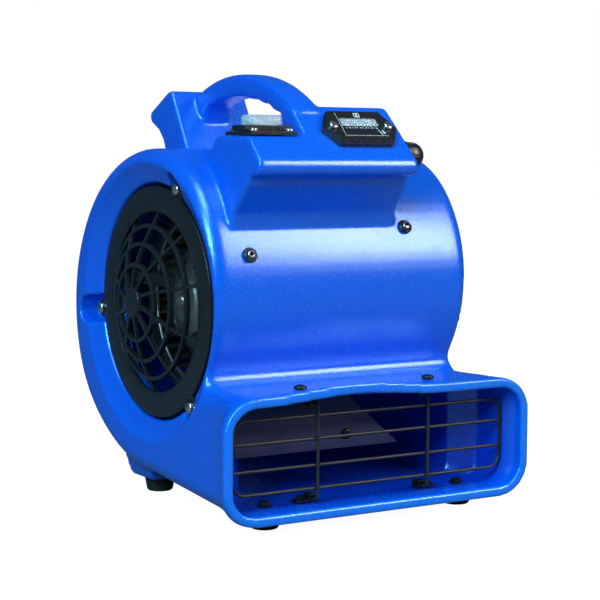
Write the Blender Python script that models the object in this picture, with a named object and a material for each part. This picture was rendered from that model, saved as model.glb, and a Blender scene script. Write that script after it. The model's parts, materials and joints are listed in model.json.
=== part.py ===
"""Mini air mover: a double-inlet centrifugal blower in one rotomoulded housing.

Everything is worked out in millimetres in the fan's own frame and turned into metres when a mesh
is made. +Z is up, the outlet faces -Y, and the rotor's axis is parallel to X at AXIS_Z.
"""

import math

import bmesh
import bpy

# ---------------------------------------------------------------- driving dimensions, millimetres
MM = 0.001
AXIS_Z = 135.0  # height of the rotor's axis
SHIFT_Y = 7.85  # moves the fan's frame so that the bounding box is centred on the origin
GAP = 0.35  # clearance between pieces that touch

WALL = 5.0
DRUM_HALF = 103.0  # half width of the drum across the rims
RIM_ROUND = 12.0
MOUTH_HALF = 118.0
MOUTH_Y = -134.3
MOUTH_BOTTOM = 6.3
DUCT_TOP = 86.0
FLARE_Y = -90.0  # where the duct starts to widen towards the mouth
NECK_ROUND = 8.0
MOUTH_EXTRA_ROUND = 12.0  # the long edges are rounder at the mouth
LIP_ARCH = 5.0  # how far the top lip arches up
ARCH_X = -22.0
ARCH_HALF = 72.0

# Volute: outer radius every 30 degrees, from just under the front (-30) over the top to the bottom.
VOLUTE = (83.0, 88.5, 95.5, 102.5, 102.5, 105.8, 112.0, 118.3, 121.5, 118.0, 116.5)
VOLUTE_FROM = -30.0
VOLUTE_END = 270.0

SEAT_X = 87.0  # plane that the grilles' ears rest on
CAVITY_HALF = 82.0
GRILLE_FACE = 96.0
GRILLE_R = 77.6
GRILLE_OPENING = 61.3
DOME = 16.5
EAR_R = 82.2
EAR_TOP = 95.0
EAR_ANGLES = (67.3, 187.3, 307.3)
POCKET_END = (92.0, 103.0, 90.0)
SPOKES = 10

BOX_LEFT = -83.0
BOX_RIGHT = 41.5
BOX_DRAFT = 0.06  # how much each side leans in for each millimetre of height
BOX_DRAFT_Z = 205.0
NOTCH_WALL_X = -38.5
NOTCH_Z = 245.5
BOX_TOP_Z = 265.0
BOX_TOP_Y = -76.5
SLOPE_TOP = (-79.0, 263.9)  # (y, z) of the sloped face's upper edge, and of its lower edge
SLOPE_LOW = (-110.9, 231.5)
LIP_CENTRE = (-106.0, 226.5)
LIP_ROUND = 7.0
HANDLE_X = -26.2
HANDLE_HALF = 11.0
HANDLE_Y = -5.0  # middle of the arc that the handle's top follows
HANDLE_R = 130.0
HANDLE_TOP = 288.0
HANDLE_THICK = 15.5
HANDLE_FROM = 127.0  # angles of the handle's two ends, from +Y
HANDLE_TO = 62.0
HANDLE_REAR_FILLET = 9.0
BLOCK_LEFT = -55.0
BLOCK_RIGHT = 5.0

FOOT_X = 75.4
FOOT_FRONT_Y = -110.0
FOOT_REAR_Y = 31.7
FOOT_FRONT_TOP = 7.2
FOOT_REAR_TOP = 9.6

WHEEL_R = 69.0
WHEEL_INNER_R = 55.0
WHEEL_HALF = 66.0
BLADES = 24
MOTOR_R = 36.0
MOTOR_X0 = -74.0  # outer face of the motor, in the left inlet
MOTOR_X1 = -8.0
SHAFT_R = 4.0
BRACKET_ANGLES = (-72.0, 48.0, 168.0)
BRACKET_SCREW_R = 72.5

GUARD_Y = -119.6
GUARD_HALF = 104.3
GUARD_Z = (23.8, 38.5, 55.5, 70.1)
GUARD_BAR_X = 43.0
WIRE_R = 1.1
CLIP_X = 50.0
CLIP_Y = -111.0

CUP_PLACES = ((22.0, -73.0), (31.8, 51.0))  # drum screws: angle round the drum, and X
METER_X = 4.0
METER_PROUD = 5.2
METER_DOWN = 21.0  # middle of the meter, down the sloped face from its upper edge
SWITCH_X = -61.0
SWITCH_Y = -81.0
FRAME_HIGH = 3.6
BOOT_HIGH = 6.3
ROCKER_TILT = 9.0  # the rocker's tilt either side of level; at rest its left end is up
GLAND_Y = -90.0
GLAND_Z = 233.5

COLOURS = {
    "blue": ((0.0, 0.08, 0.82), 0.32, 0.0),
    "black": ((0.02, 0.02, 0.022), 0.6, 0.0),
    "rubber": ((0.012, 0.012, 0.012), 0.8, 0.0),
    "steel": ((0.62, 0.62, 0.6), 0.3, 1.0),
    "zinc": ((0.55, 0.56, 0.57), 0.45, 1.0),
    "wire": ((0.07, 0.07, 0.07), 0.35, 0.8),
    "grey": ((0.25, 0.27, 0.33), 0.5, 0.0),
    "clear": ((0.85, 0.88, 0.9), 0.15, 0.0),
    "white": ((0.8, 0.8, 0.78), 0.4, 0.0),
    "brass": ((0.7, 0.5, 0.2), 0.35, 1.0),
}


# ---------------------------------------------------------------- helpers
def clear_scene():
    for obj in list(bpy.data.objects):
        bpy.data.objects.remove(obj, do_unlink=True)


def material(name):
    found = bpy.data.materials.get(name)
    if found:
        return found
    colour, rough, metal = COLOURS[name]
    made = bpy.data.materials.new(name)
    made.use_nodes = True
    shader = made.node_tree.nodes["Principled BSDF"]
    shader.inputs["Base Color"].default_value = (*colour, 1.0)
    shader.inputs["Roughness"].default_value = rough
    shader.inputs["Metallic"].default_value = metal
    return made


def add_mesh(name, points, faces, finish):
    """An object from points in the fan's frame (millimetres), with its faces turned outwards."""
    mesh = bpy.data.meshes.new(name)
    mesh.from_pydata([(x * MM, (y + SHIFT_Y) * MM, z * MM) for x, y, z in points], [], faces)
    work = bmesh.new()
    work.from_mesh(mesh)
    bmesh.ops.remove_doubles(work, verts=work.verts, dist=1e-6)
    bmesh.ops.recalc_face_normals(work, faces=work.faces)
    if work.calc_volume(signed=True) < 0:
        bmesh.ops.reverse_faces(work, faces=work.faces)
    work.to_mesh(mesh)
    work.free()
    mesh.materials.append(material(finish))
    mesh.shade_smooth()
    mesh.set_sharp_from_angle(angle=math.radians(35))
    obj = bpy.data.objects.new(name, mesh)
    bpy.context.scene.collection.objects.link(obj)
    return obj


def helper(obj):
    obj.hide_render = True
    obj.display_type = "WIRE"
    return obj


def combine(target, others, operation):
    """Joins the others to the target, or cuts them from it, with Boolean modifiers."""
    for other in others:
        modifier = target.modifiers.new(operation.lower(), "BOOLEAN")
        modifier.operation = operation
        modifier.object = helper(other)
    return target


def unite(target, *others):
    return combine(target, others, "UNION")


def cut(target, *others):
    return combine(target, others, "DIFFERENCE")


def stack(name, loops, finish):
    """A closed solid through loops of equal length, with both ends capped."""
    count = len(loops[0])
    points = [point for loop in loops for point in loop]
    faces = []
    for k in range(len(loops) - 1):
        for i in range(count):
            j = (i + 1) % count
            a, b = k * count, (k + 1) * count
            faces.append((a + i, a + j, b + j, b + i))
    faces.append(tuple(range(count)))
    faces.append(tuple(range((len(loops) - 1) * count, len(loops) * count)))
    return add_mesh(name, points, faces, finish)


def prism_x(name, outline, x0, x1, finish):
    """An outline of (y, z) pairs, extruded from x0 to x1."""
    return stack(name, [[(x, y, z) for y, z in outline] for x in (x0, x1)], finish)


def block(name, low, high, finish):
    outline = [(low[1], low[2]), (high[1], low[2]), (high[1], high[2]), (low[1], high[2])]
    return prism_x(name, outline, low[0], high[0], finish)


def turned(name, profile, centre, axis, finish, segments=24):
    """Turns a closed profile of (radius, height) round an axis, given as a unit vector."""
    ax, ay, az = axis
    side = (0.0, 0.0, 1.0) if abs(az) < 0.9 else (1.0, 0.0, 0.0)
    u = normalised(cross(side, axis))
    v = cross(axis, u)
    points = []
    for radius, height in profile:
        for k in range(segments):
            turn = 2 * math.pi * k / segments
            c, s = radius * math.cos(turn), radius * math.sin(turn)
            points.append(
                (
                    centre[0] + ax * height + u[0] * c + v[0] * s,
                    centre[1] + ay * height + u[1] * c + v[1] * s,
                    centre[2] + az * height + u[2] * c + v[2] * s,
                )
            )
    faces = []
    rings = len(profile)
    for r in range(rings):
        below, above = r * segments, ((r + 1) % rings) * segments
        if profile[r][0] == 0 and profile[(r + 1) % rings][0] == 0:
            continue
        for k in range(segments):
            n = (k + 1) % segments
            faces.append((below + k, below + n, above + n, above + k))
    return add_mesh(name, points, faces, finish)


def cross(a, b):
    return (a[1] * b[2] - a[2] * b[1], a[2] * b[0] - a[0] * b[2], a[0] * b[1] - a[1] * b[0])


def normalised(a):
    size = math.sqrt(sum(n * n for n in a))
    return tuple(n / size for n in a)


def rod(name, radius, start, end, finish, segments=16):
    """A plain round bar between two points."""
    along = tuple(e - s for s, e in zip(start, end))
    length = math.sqrt(sum(n * n for n in along))
    profile = ((0, 0), (radius, 0), (radius, length), (0, length))
    return turned(name, profile, start, normalised(along), finish, segments)


def swept(name, path, section, finish, closed=False):
    """Sweeps a section of (across, up) pairs along a path; up stays as near to the given normal as it can."""
    loops = []
    count = len(path)
    for k, (point, normal) in enumerate(path):
        before = path[(k - 1) % count][0] if closed or k else point
        after = path[(k + 1) % count][0] if closed or k < count - 1 else point
        along = normalised(tuple(b - a for a, b in zip(before, after)))
        across = normalised(cross(along, normal))
        up = cross(across, along)
        loops.append(
            [tuple(p + across[i] * a + up[i] * b for i, p in enumerate(point)) for a, b in section]
        )
    if not closed:
        return stack(name, loops, finish)
    size = len(section)
    points = [point for loop in loops for point in loop]
    faces = []
    for k in range(count):
        a, b = k * size, ((k + 1) % count) * size
        for i in range(size):
            j = (i + 1) % size
            faces.append((a + i, a + j, b + j, b + i))
    return add_mesh(name, points, faces, finish)


def ngon(radius, sides, start=0.0):
    return [
        (radius * math.cos(start + 2 * math.pi * k / sides), radius * math.sin(start + 2 * math.pi * k / sides))
        for k in range(sides)
    ]


def arc(centre, radius, start, end, steps):
    """Points (y, z) on an arc; angles in degrees, 0 along +y."""
    turns = [math.radians(start + (end - start) * k / steps) for k in range(steps + 1)]
    return [(centre[0] + radius * math.cos(t), centre[1] + radius * math.sin(t)) for t in turns]


def polar(angle, radius):
    """The (y, z) point at an angle about the rotor's axis: 0 is forwards, 90 is up."""
    turn = math.radians(angle)
    return (-radius * math.cos(turn), AXIS_Z + radius * math.sin(turn))


def smooth_step(t):
    t = min(1.0, max(0.0, t))
    return t * t * (3 - 2 * t)


def empty(name, place):
    made = bpy.data.objects.new(name, None)
    made.empty_display_size = 0.02
    made.location = (place[0] * MM, (place[1] + SHIFT_Y) * MM, place[2] * MM)
    bpy.context.scene.collection.objects.link(made)
    return made


def hang_on(parent, *children):
    """Parents the objects and moves each origin to the parent's place, leaving the shapes where they are."""
    for child in children:
        for vertex in child.data.vertices:
            vertex.co -= parent.location
        child.parent = parent


# ---------------------------------------------------------------- housing
def volute_radius(angle):
    """The volute's outer radius, smoothly through the radii that VOLUTE gives every 30 degrees."""
    place = (angle - VOLUTE_FROM) / 30.0
    k = int(min(len(VOLUTE) - 2, max(0, math.floor(place))))
    t = place - k
    p0 = VOLUTE[max(0, k - 1)]
    p1 = VOLUTE[k]
    p2 = VOLUTE[k + 1]
    p3 = VOLUTE[min(len(VOLUTE) - 1, k + 2)]
    bend = 2 * p0 - 5 * p1 + 4 * p2 - p3
    twist = 3 * p1 - p0 - 3 * p2 + p3
    return 0.5 * (2 * p1 + (p2 - p0) * t + bend * t * t + twist * t * t * t)


def bottom_z(y):
    """The duct's flat underside, from the lowest point of the volute to the mouth."""
    low = AXIS_Z - VOLUTE[-1]
    return low + (MOUTH_BOTTOM - low) * y / MOUTH_Y


def outer_half(y):
    """Half of the outer width at depth y: the drum's, widening to the mouth's, steepest near the lip."""
    t = min(1.0, max(0.0, (FLARE_Y - y) / (FLARE_Y - MOUTH_Y - 5.0)))
    return DRUM_HALF + (MOUTH_HALF - DRUM_HALF) * t * t


def inner_half(y):
    """Half of the inner width: narrow between the inlets' seats, then following the duct's sides."""
    t = smooth_step((FLARE_Y - y) / 12.0)
    lip = max(0.0, 1.0 - (y - MOUTH_Y) / 20.0)
    return CAVITY_HALF + (outer_half(y) - WALL - 1.5 * lip - CAVITY_HALF) * t


DUCT_STEPS = (MOUTH_Y, -129.0, -122.0, -112.0, -101.0, FLARE_Y)


def side_outline(inset, step):
    """The housing's side outline moved inwards by inset, from the mouth's top edge round to its bottom edge."""
    top = [(y, DUCT_TOP - inset) for y in DUCT_STEPS]
    lift = NECK_ROUND + inset
    centre_z = DUCT_TOP + NECK_ROUND
    reach = volute_radius(-26.0) + NECK_ROUND
    centre_y = -math.sqrt(reach * reach - (AXIS_Z - centre_z) ** 2)
    drum_side = math.degrees(math.atan2(AXIS_Z - centre_z, -centre_y))
    neck = arc((centre_y, centre_z), lift, -90.0, drum_side, 3)
    first = -18.0
    count = round((VOLUTE_END - first) / step)
    angles = [first + (VOLUTE_END - first) * k / count for k in range(count + 1)]
    volute = [polar(a, volute_radius(a) - inset) for a in angles]
    low = [(-45.0, bottom_z(-45.0) + inset)]
    bottom = [(y, bottom_z(y) + inset) for y in reversed(DUCT_STEPS)]
    return top + neck + volute + low + bottom


def arch(x):
    """How far the top lip is raised at x."""
    t = abs(x - ARCH_X) / ARCH_HALF
    return LIP_ARCH * (1 - smooth_step(t))


def body_solid(name, inset, half_width, rounding, mouth_inset, beyond, fineness):
    """The drum and duct as one solid: side outlines stacked along X, with rounded long edges."""
    step, turns = fineness
    corner = [math.radians(90.0 * k / turns) for k in range(turns + 1)]
    right = [(1.0 - math.sin(t), 1.0 - math.cos(t), 1) for t in corner]
    left = [(a, b, -1) for a, b, _ in reversed(right)]
    middle = [(x, 0.0, 0) for x in (-0.72, -0.48, -0.19, 0.1, 0.36, 0.62)]
    stations = left + middle + right
    loops = []
    for across, inwards, side in stations:
        outline = side_outline(inset + rounding * inwards, step)
        loop = []
        for k, (y, z) in enumerate(outline):
            wide = half_width(y)
            near = max(0.0, 1.0 - (y - MOUTH_Y) / 26.0)
            extra = (MOUTH_EXTRA_ROUND - inset) * near
            bend = rounding + extra
            x = side * (wide - bend * across) if side else across * wide
            lower = extra * inwards + mouth_inset * near
            if k < len(DUCT_STEPS):
                z += arch(x) * near * near - lower
            if k >= len(outline) - len(DUCT_STEPS):
                z += lower
            edge = k in (0, len(outline) - 1)
            loop.append((x, y - beyond if edge else y, z))
        loops.append(loop)
    return cap_body(name, loops, len(DUCT_STEPS), "blue")


def cap_body(name, loops, duct, finish):
    """Closes the stack of outlines: quads across the duct's flared sides, one flat face for the drum."""
    count = len(loops[0])
    points = [point for loop in loops for point in loop]
    faces = []
    for k in range(len(loops) - 1):
        a, b = k * count, (k + 1) * count
        for i in range(count - 1):
            faces.append((a + i, a + i + 1, b + i + 1, b + i))
    for start in (0, (len(loops) - 1) * count):
        for i in range(duct - 1):
            faces.append((start + i, start + i + 1, start + count - 2 - i, start + count - 1 - i))
        faces.append(tuple(range(start + duct - 1, start + count - duct + 1)))
    mouth = [k * count for k in range(len(loops))]
    mouth += [k * count + count - 1 for k in reversed(range(len(loops)))]
    faces.append(tuple(mouth))
    return add_mesh(name, points, faces, finish)


def box_outline():
    """Side outline of the control box: a wedge whose rounded lip overhangs the drum."""
    rear = [(-30.0, 205.0), (-42.0, 226.0), (-68.0, 263.0), (-71.0, BOX_TOP_Z)]
    front = [(BOX_TOP_Y, BOX_TOP_Z), SLOPE_TOP]
    nose = arc(LIP_CENTRE, LIP_ROUND, 135.0, 235.0, 4)
    under = [(-102.0, 218.0), (-84.0, 196.0), (-79.0, 178.0), (-50.0, 178.0)]
    return rear + front + nose + under


def block_outline():
    """Side outline of the rear block: a wedge that leans back over a cord hook."""
    hook = arc((80.0, 260.5), 6.0, 38.0, -75.0, 4)
    return [(24.0, 226.0), (53.0, 277.0), (56.0, 278.5), (59.0, 277.5)] + hook + [
        (73.0, 250.5),
        (66.0, 243.0),
        (57.0, 221.0),
        (57.0, 210.0),
        (24.0, 215.0),
    ]


def handle_solid():
    """The carrying handle: a bar swept along an arc, with finger grips under its front half."""
    section = ((-1, 0.2), (-0.8, 0), (0.8, 0), (1, 0.2), (1, 0.75), (0.7, 1), (-0.7, 1), (-1, 0.75))
    steps = 16
    loops = []
    for k in range(steps + 1):
        angle = HANDLE_FROM + (HANDLE_TO - HANDLE_FROM) * k / steps
        turn = math.radians(angle)
        grip = 1.4 * (k % 2) if 2 <= k <= 8 else 0.0
        front = max(0.0, (angle - 90.0) / (HANDLE_FROM - 90.0))
        rear = smooth_step((72.0 - angle) / (72.0 - HANDLE_TO))
        deep = HANDLE_THICK - 3.0 * front + grip + HANDLE_REAR_FILLET * rear
        loop = []
        for a, b in section:
            r = HANDLE_R - b * deep
            y, z = HANDLE_Y + r * math.cos(turn), HANDLE_TOP - HANDLE_R + r * math.sin(turn)
            loop.append((HANDLE_X + HANDLE_HALF * a, y, z))
        loops.append(loop)
    return stack("handle_bar", loops, "blue")


def pad_solid(name, x):
    """The moulded pad over a rear foot."""
    y0, y1 = FOOT_REAR_Y - 15.0, FOOT_REAR_Y + 15.0
    z0, z1 = FOOT_REAR_TOP + GAP, AXIS_Z - 108.0
    loops = []
    for z, grow in ((z0, 0.0), (z0 + 3.0, 2.0), (z1, 5.0)):
        loops.append(
            [
                (x - 13 - grow, y0 - grow, z),
                (x + 13 + grow, y0 - grow, z),
                (x + 13 + grow, y1 + grow, z),
                (x - 13 - grow, y1 + grow, z),
            ]
        )
    return stack(name, loops, "blue")


def inlet_cutters(side):
    """The inlet bore with its seat and funnel, and three pockets for the grille's ears."""
    profile = (
        (0, 76.0),
        (68.0, 76.0),
        (68.0, SEAT_X),
        (79.5, SEAT_X),
        (79.5, 95.5),
        (88.0, 99.0),
        (96.0, 104.5),
        (96.0, 112.0),
        (0, 112.0),
    )
    cutters = [turned("inlet_cut", profile, (0, 0, AXIS_Z), (side, 0, 0), "blue", 40)]
    for angle, end in zip(EAR_ANGLES, POCKET_END):
        half = 10.0
        turn = math.radians(angle)
        out = (-math.cos(turn), math.sin(turn))
        tang = (-out[1], out[0])
        outline = [(70.0, -half), (end - 4, -half), (end, -half + 4), (end, half - 4), (end - 4, half), (70.0, half)]
        ring = [(out[0] * r + tang[0] * t, AXIS_Z + out[1] * r + tang[1] * t) for r, t in outline]
        x0, x1 = sorted((side * (SEAT_X + 0.02), side * 110.0))
        cutters.append(prism_x("pocket_cut", ring, x0, x1, "blue"))
    return cutters


def make_housing():
    housing = body_solid("housing", 0.0, outer_half, RIM_ROUND, 0.0, 0.0, (12.0, 3))
    sides = []
    for edge, lean in ((BOX_LEFT, BOX_DRAFT), (BOX_RIGHT, -BOX_DRAFT)):
        sides.append([(edge + lean * (z - BOX_DRAFT_Z), y, z) for y, z in box_outline()])
    control_box = stack("control_box", sides, "blue")
    rear_block = prism_x("rear_block", block_outline(), BLOCK_LEFT, BLOCK_RIGHT, "blue")
    pads = [pad_solid("foot_pad", x) for x in (-FOOT_X, FOOT_X)]
    unite(housing, control_box, rear_block, handle_solid(), *pads)
    cavity = body_solid("cavity", WALL, inner_half, 10.0, 1.5, 6.0, (18.0, 2))
    notch = block("notch_cut", (BOX_LEFT - 5, -125, NOTCH_Z), (NOTCH_WALL_X, -30, 290), "blue")
    hollow_outline = [
        (-50.0, 150.0),
        (-50.0, 222.0),
        (-73.0, 256.0),
        (-77.5, 259.0),
        (-107.5, 228.5),
        (-103.0, 223.0),
        (-80.0, 197.0),
        (-72.0, 178.0),
        (-72.0, 150.0),
    ]
    hollow = prism_x("box_hollow", hollow_outline, NOTCH_WALL_X + 5, BOX_RIGHT - 4.5, "blue")
    low_outline = [(y, min(z, NOTCH_Z - 4.0)) for y, z in hollow_outline]
    hollow_low = prism_x("notch_hollow", low_outline, BOX_LEFT + 4.5, NOTCH_WALL_X + 6, "blue")
    cut(housing, notch, cavity, hollow, hollow_low)
    cut(housing, *inlet_cutters(1), *inlet_cutters(-1))
    cut(housing, *fastener_cutters())
    return housing


def fastener_cutters():
    """Holes for the feet's bolts, the guard's screws, the switch, the meter and the gland."""
    cutters = []
    for x in (-FOOT_X, FOOT_X):
        cutters.append(rod("foot_hole", 2.4, (x, FOOT_FRONT_Y, 2), (x, FOOT_FRONT_Y, 20), "blue", 12))
        cutters.append(rod("foot_hole", 2.4, (x, FOOT_REAR_Y, 2), (x, FOOT_REAR_Y, 34), "blue", 12))
        cutters.append(rod("foot_flat", 7.0, (x, FOOT_REAR_Y, 26.5), (x, FOOT_REAR_Y, 40), "blue", 16))
    for x in (-CLIP_X, CLIP_X):
        cutters.append(rod("clip_hole", 2.3, (x, CLIP_Y, 76), (x, CLIP_Y, 92), "blue", 12))
    low = (SWITCH_X - 13.0, SWITCH_Y - 7.0, NOTCH_Z - 12)
    high = (SWITCH_X + 13.0, SWITCH_Y + 7.0, NOTCH_Z + 2)
    cutters.append(block("switch_hole", low, high, "blue"))
    cutters.append(meter_prism("meter_hole", hexagon(17.5, 12.5, 19.0), -14.0, 3.0, "blue"))
    end = (BOX_RIGHT + 3, GLAND_Y, GLAND_Z)
    cutters.append(rod("gland_hole", 6.6, (BOX_RIGHT - 8, GLAND_Y, GLAND_Z), end, "blue", 16))
    for angle in BRACKET_ANGLES:
        y, z = polar(angle, BRACKET_SCREW_R)
        cutters.append(rod("bracket_hole", 2.1, (-90, y, z), (-78, y, z), "blue", 10))
    for angle, x in CUP_PLACES:
        y, z = polar(angle, volute_radius(angle) + 3.0)
        inner = polar(angle, volute_radius(angle) - 9.0)
        cutters.append(rod("cup_hole", 2.4, (x, *inner), (x, y, z), "blue", 12))
    return cutters


# ---------------------------------------------------------------- inlet grilles
def dome_x(radius):
    """How far the grille's dome stands out at a radius."""
    t = min(1.0, radius / GRILLE_OPENING)
    return GRILLE_FACE - 3.0 + (DOME + 3.0) * (1 - t * t)


def make_grille(side, label):
    name = f"inlet_grille_{label}"
    face, back = GRILLE_FACE, SEAT_X + GAP
    rim = (
        (GRILLE_OPENING, face),
        (GRILLE_OPENING, face - 2.6),
        (GRILLE_R - 2.4, face - 2.6),
        (GRILLE_R - 2.4, back),
        (GRILLE_R, back),
        (GRILLE_R, face - 0.8),
        (GRILLE_R - 0.8, face),
    )
    centre, axis = (0, 0, AXIS_Z), (side, 0, 0)
    grille = turned(name, rim, centre, axis, "black", 36)
    parts = []
    low, high = dome_x(0) - 2.4, dome_x(0) + 1.5
    hub = ((0, low), (10.2, low), (10.2, high - 1.2), (7, high), (0, high))
    parts.append(turned("hub", hub, centre, axis, "black", 16))
    for radius in (25.3, 39.1, 51.2):
        x = dome_x(radius)
        band = ((radius - 1.3, x - 1.8), (radius + 1.3, x - 1.8), (radius + 1.3, x + 1.3), (radius - 1.3, x + 1.3))
        parts.append(turned("band", band, centre, axis, "black", 20))
    for k in range(SPOKES):
        path = []
        for t in (0.0, 0.5, 1.0):
            radius = 7.0 + (GRILLE_OPENING + 1.4 - 7.0) * t
            turn = math.radians(100.0 + 36.0 * k - 13.0 * t)
            y, z = -radius * math.cos(turn), AXIS_Z + radius * math.sin(turn)
            path.append(((side * (dome_x(radius) - 0.6), y, z), (side, 0.0, 0.0)))
        section = ((-1.2, -1.4), (1.2, -1.4), (1.2, 1.3), (-1.2, 1.3))
        parts.append(swept("spoke", path, section, "black"))
    for angle in EAR_ANGLES:
        turn = math.radians(angle)
        out = (-math.cos(turn), math.sin(turn))
        tang = (-out[1], out[0])
        outline = [(74.5, -6.5), (EAR_R, -5.8), (EAR_R + 4.6, -3.2), (EAR_R + 4.6, 3.2), (EAR_R, 5.8), (74.5, 6.5)]
        ring = [(out[0] * r + tang[0] * t, AXIS_Z + out[1] * r + tang[1] * t) for r, t in outline]
        x0, x1 = sorted((side * back, side * EAR_TOP))
        parts.append(prism_x("ear", ring, x0, x1, "black"))
    unite(grille, *parts)
    holes = []
    for angle in EAR_ANGLES:
        y, z = polar(angle, EAR_R)
        holes.append(rod("ear_hole", 2.3, (side * (back - 3), y, z), (side * (EAR_TOP + 3), y, z), "black", 10))
    cut(grille, *holes)
    return grille


def pan_screw(name, place, axis, head_r, head_h, shank_r, length, finish="steel"):
    """A pan-head screw: its head stands on place, and its shank goes the other way along the axis."""
    profile = (
        (0, -length),
        (shank_r, -length),
        (shank_r, 0),
        (head_r, 0),
        (head_r, 0.5 * head_h),
        (0.6 * head_r, head_h),
        (0, head_h),
    )
    return turned(name, profile, place, axis, finish, 10)


def make_grille_screws(side, label):
    for k, angle in enumerate(EAR_ANGLES):
        y, z = polar(angle, EAR_R)
        place = (side * (EAR_TOP + GAP), y, z)
        pan_screw(f"grille_screw_{label}_{k + 1}", place, (side, 0, 0), 4.0, 3.0, 1.8, EAR_TOP - SEAT_X)


# ---------------------------------------------------------------- rotor and motor
def make_rotor():
    """The double-inlet wheel with its centre plate and hub, and the shaft with the motor's core pressed on it."""
    centre, axis = (0, 0, AXIS_Z), (1, 0, 0)
    wheel_profile = (
        (SHAFT_R + GAP, 1.0),
        (13.0, 1.0),
        (13.0, 5.0),
        (WHEEL_R - 1, 5.0),
        (WHEEL_R - 1, 7.0),
        (13.0, 7.0),
        (13.0, 24.0),
        (SHAFT_R + GAP, 24.0),
    )
    wheel = turned("fan_wheel", wheel_profile, centre, axis, "zinc", 24)
    parts = []
    for x in (-WHEEL_HALF, WHEEL_HALF - 3.0):
        band = ((WHEEL_INNER_R, x), (WHEEL_R, x), (WHEEL_R, x + 3.0), (WHEEL_INNER_R, x + 3.0))
        parts.append(turned("wheel_band", band, centre, axis, "zinc", 24))
    for k in range(BLADES):
        turn = 2 * math.pi * (k + 0.5) / BLADES
        lean = math.radians(38)
        outline = []
        for radius, across in ((56.2, -0.7), (56.2, 0.7), (67.6, 0.7), (67.6, -0.7)):
            swing = turn + lean * (radius - 56.2) / (radius + 14)
            y = radius * math.cos(swing) - across * math.sin(swing)
            z = radius * math.sin(swing) + across * math.cos(swing)
            outline.append((y, AXIS_Z + z))
        parts.append(prism_x("blade", outline, 1.2 - WHEEL_HALF, WHEEL_HALF - 1.2, "zinc"))
    unite(wheel, *parts)
    core0, core1 = MOTOR_X0 + 23.0, MOTOR_X1 - 23.0
    shaft_profile = (
        (0, MOTOR_X0 - 3.0),
        (SHAFT_R, MOTOR_X0 - 3.0),
        (SHAFT_R, core0),
        (23.0, core0),
        (23.0, core1),
        (SHAFT_R, core1),
        (SHAFT_R, 27.0),
        (0, 27.0),
    )
    shaft = turned("motor_shaft", shaft_profile, centre, axis, "steel", 24)
    pivot = empty("rotor_pivot", (0, 0, AXIS_Z))
    hang_on(pivot, wheel, shaft, *parts)


def make_motor():
    """The motor in the left inlet: two end bells round a stator, with a ball bearing in each end."""
    centre, axis = (0, 0, AXIS_Z), (1, 0, 0)
    bore = SHAFT_R + 0.5
    mid0, mid1 = MOTOR_X0 + 20, MOTOR_X1 - 20
    stator = ((24.0, mid0 + GAP), (MOTOR_R, mid0 + GAP), (MOTOR_R, mid1 - GAP), (24.0, mid1 - GAP))
    turned("motor_stator", stator, centre, axis, "zinc", 22)
    for label, outer, inner, step in (("outer", MOTOR_X0, mid0, 1), ("inner", MOTOR_X1, mid1, -1)):
        bell = (
            (bore + 0.5, outer),
            (15.0, outer),
            (30.0, outer + step * 6),
            (MOTOR_R, outer + step * 12),
            (MOTOR_R, inner),
            (31.0, inner),
            (31.0, outer + step * 12),
            (12.2, outer + step * 10.5),
            (12.2, outer + step * 4),
            (bore + 0.5, outer + step * 4),
        )
        turned(f"motor_bell_{label}", bell, centre, axis, "black", 22)
        start = outer + step * (4 + GAP)
        ring = ((bore - 0.15, start), (11.6, start), (11.6, start + step * 6), (bore - 0.15, start + step * 6))
        turned(f"motor_bearing_{label}", ring, centre, axis, "steel", 20)


def make_bracket():
    """The motor's mount: a band round the outer end bell with three legs bent out to the inlet's edge."""
    centre, axis = (0, 0, AXIS_Z), (1, 0, 0)
    x0, x1 = MOTOR_X0 + 12.5, MOTOR_X0 + 19.5
    band = ((MOTOR_R + GAP + 0.5, x0), (MOTOR_R + 2.9, x0), (MOTOR_R + 2.9, x1), (MOTOR_R + GAP + 0.5, x1))
    bracket = turned("motor_bracket", band, centre, axis, "black", 24)
    legs, holes = [], []
    for k, angle in enumerate(BRACKET_ANGLES):
        turn = math.radians(angle)
        out = (-math.cos(turn), math.sin(turn))
        route = ((MOTOR_R + 1.4, x0 + 3.5), (MOTOR_R + 8, x0 + 1.0), (62.0, -80.3), (77.0, -80.3))
        path = []
        for radius, x in route:
            path.append(((x, out[0] * radius, AXIS_Z + out[1] * radius), (-1.0, 0.0, 0.0)))
        section = ((-4.0, -1.0), (4.0, -1.0), (4.0, 1.0), (-4.0, 1.0))
        legs.append(swept("leg", path, section, "black"))
        y, z = polar(angle, BRACKET_SCREW_R)
        holes.append(rod("leg_hole", 2.2, (-84, y, z), (-76, y, z), "black", 10))
        place = (-79.3 + GAP, y, z)
        pan_screw(f"bracket_screw_{k + 1}", place, (1, 0, 0), 4.0, 2.6, 1.7, 6.0, "zinc")
    unite(bracket, *legs)
    cut(bracket, *holes)


def make_capacitor():
    """The motor's run capacitor, inside the control box."""
    rod("run_capacitor", 9.0, (-2.0, -66.0, 225.0), (32.0, -66.0, 225.0), "white", 20)


# ---------------------------------------------------------------- drum screws, outlet
def make_drum_screws():
    """Two socket screws with cup washers on the drum's front, each at right angles to its surface."""
    for label, (angle, x) in zip(("left", "right"), CUP_PLACES):
        turn = math.radians(angle)
        out = (0.0, -math.cos(turn), math.sin(turn))
        y, z = polar(angle, volute_radius(angle) + 0.7)
        cup = ((2.6, 0.0), (5.0, 0.0), (5.0, 0.9), (4.1, 1.8), (3.1, 1.2), (2.6, 0.6))
        turned(f"cup_washer_{label}", cup, (x, y, z), out, "black", 16)
        screw = ((0, -7.0), (1.9, -7.0), (1.9, 1.5), (2.9, 1.9), (2.9, 3.0), (1.5, 3.0), (1.5, 1.9), (0, 1.9))
        turned(f"drum_screw_{label}", screw, (x, y, z), out, "steel", 12)


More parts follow.
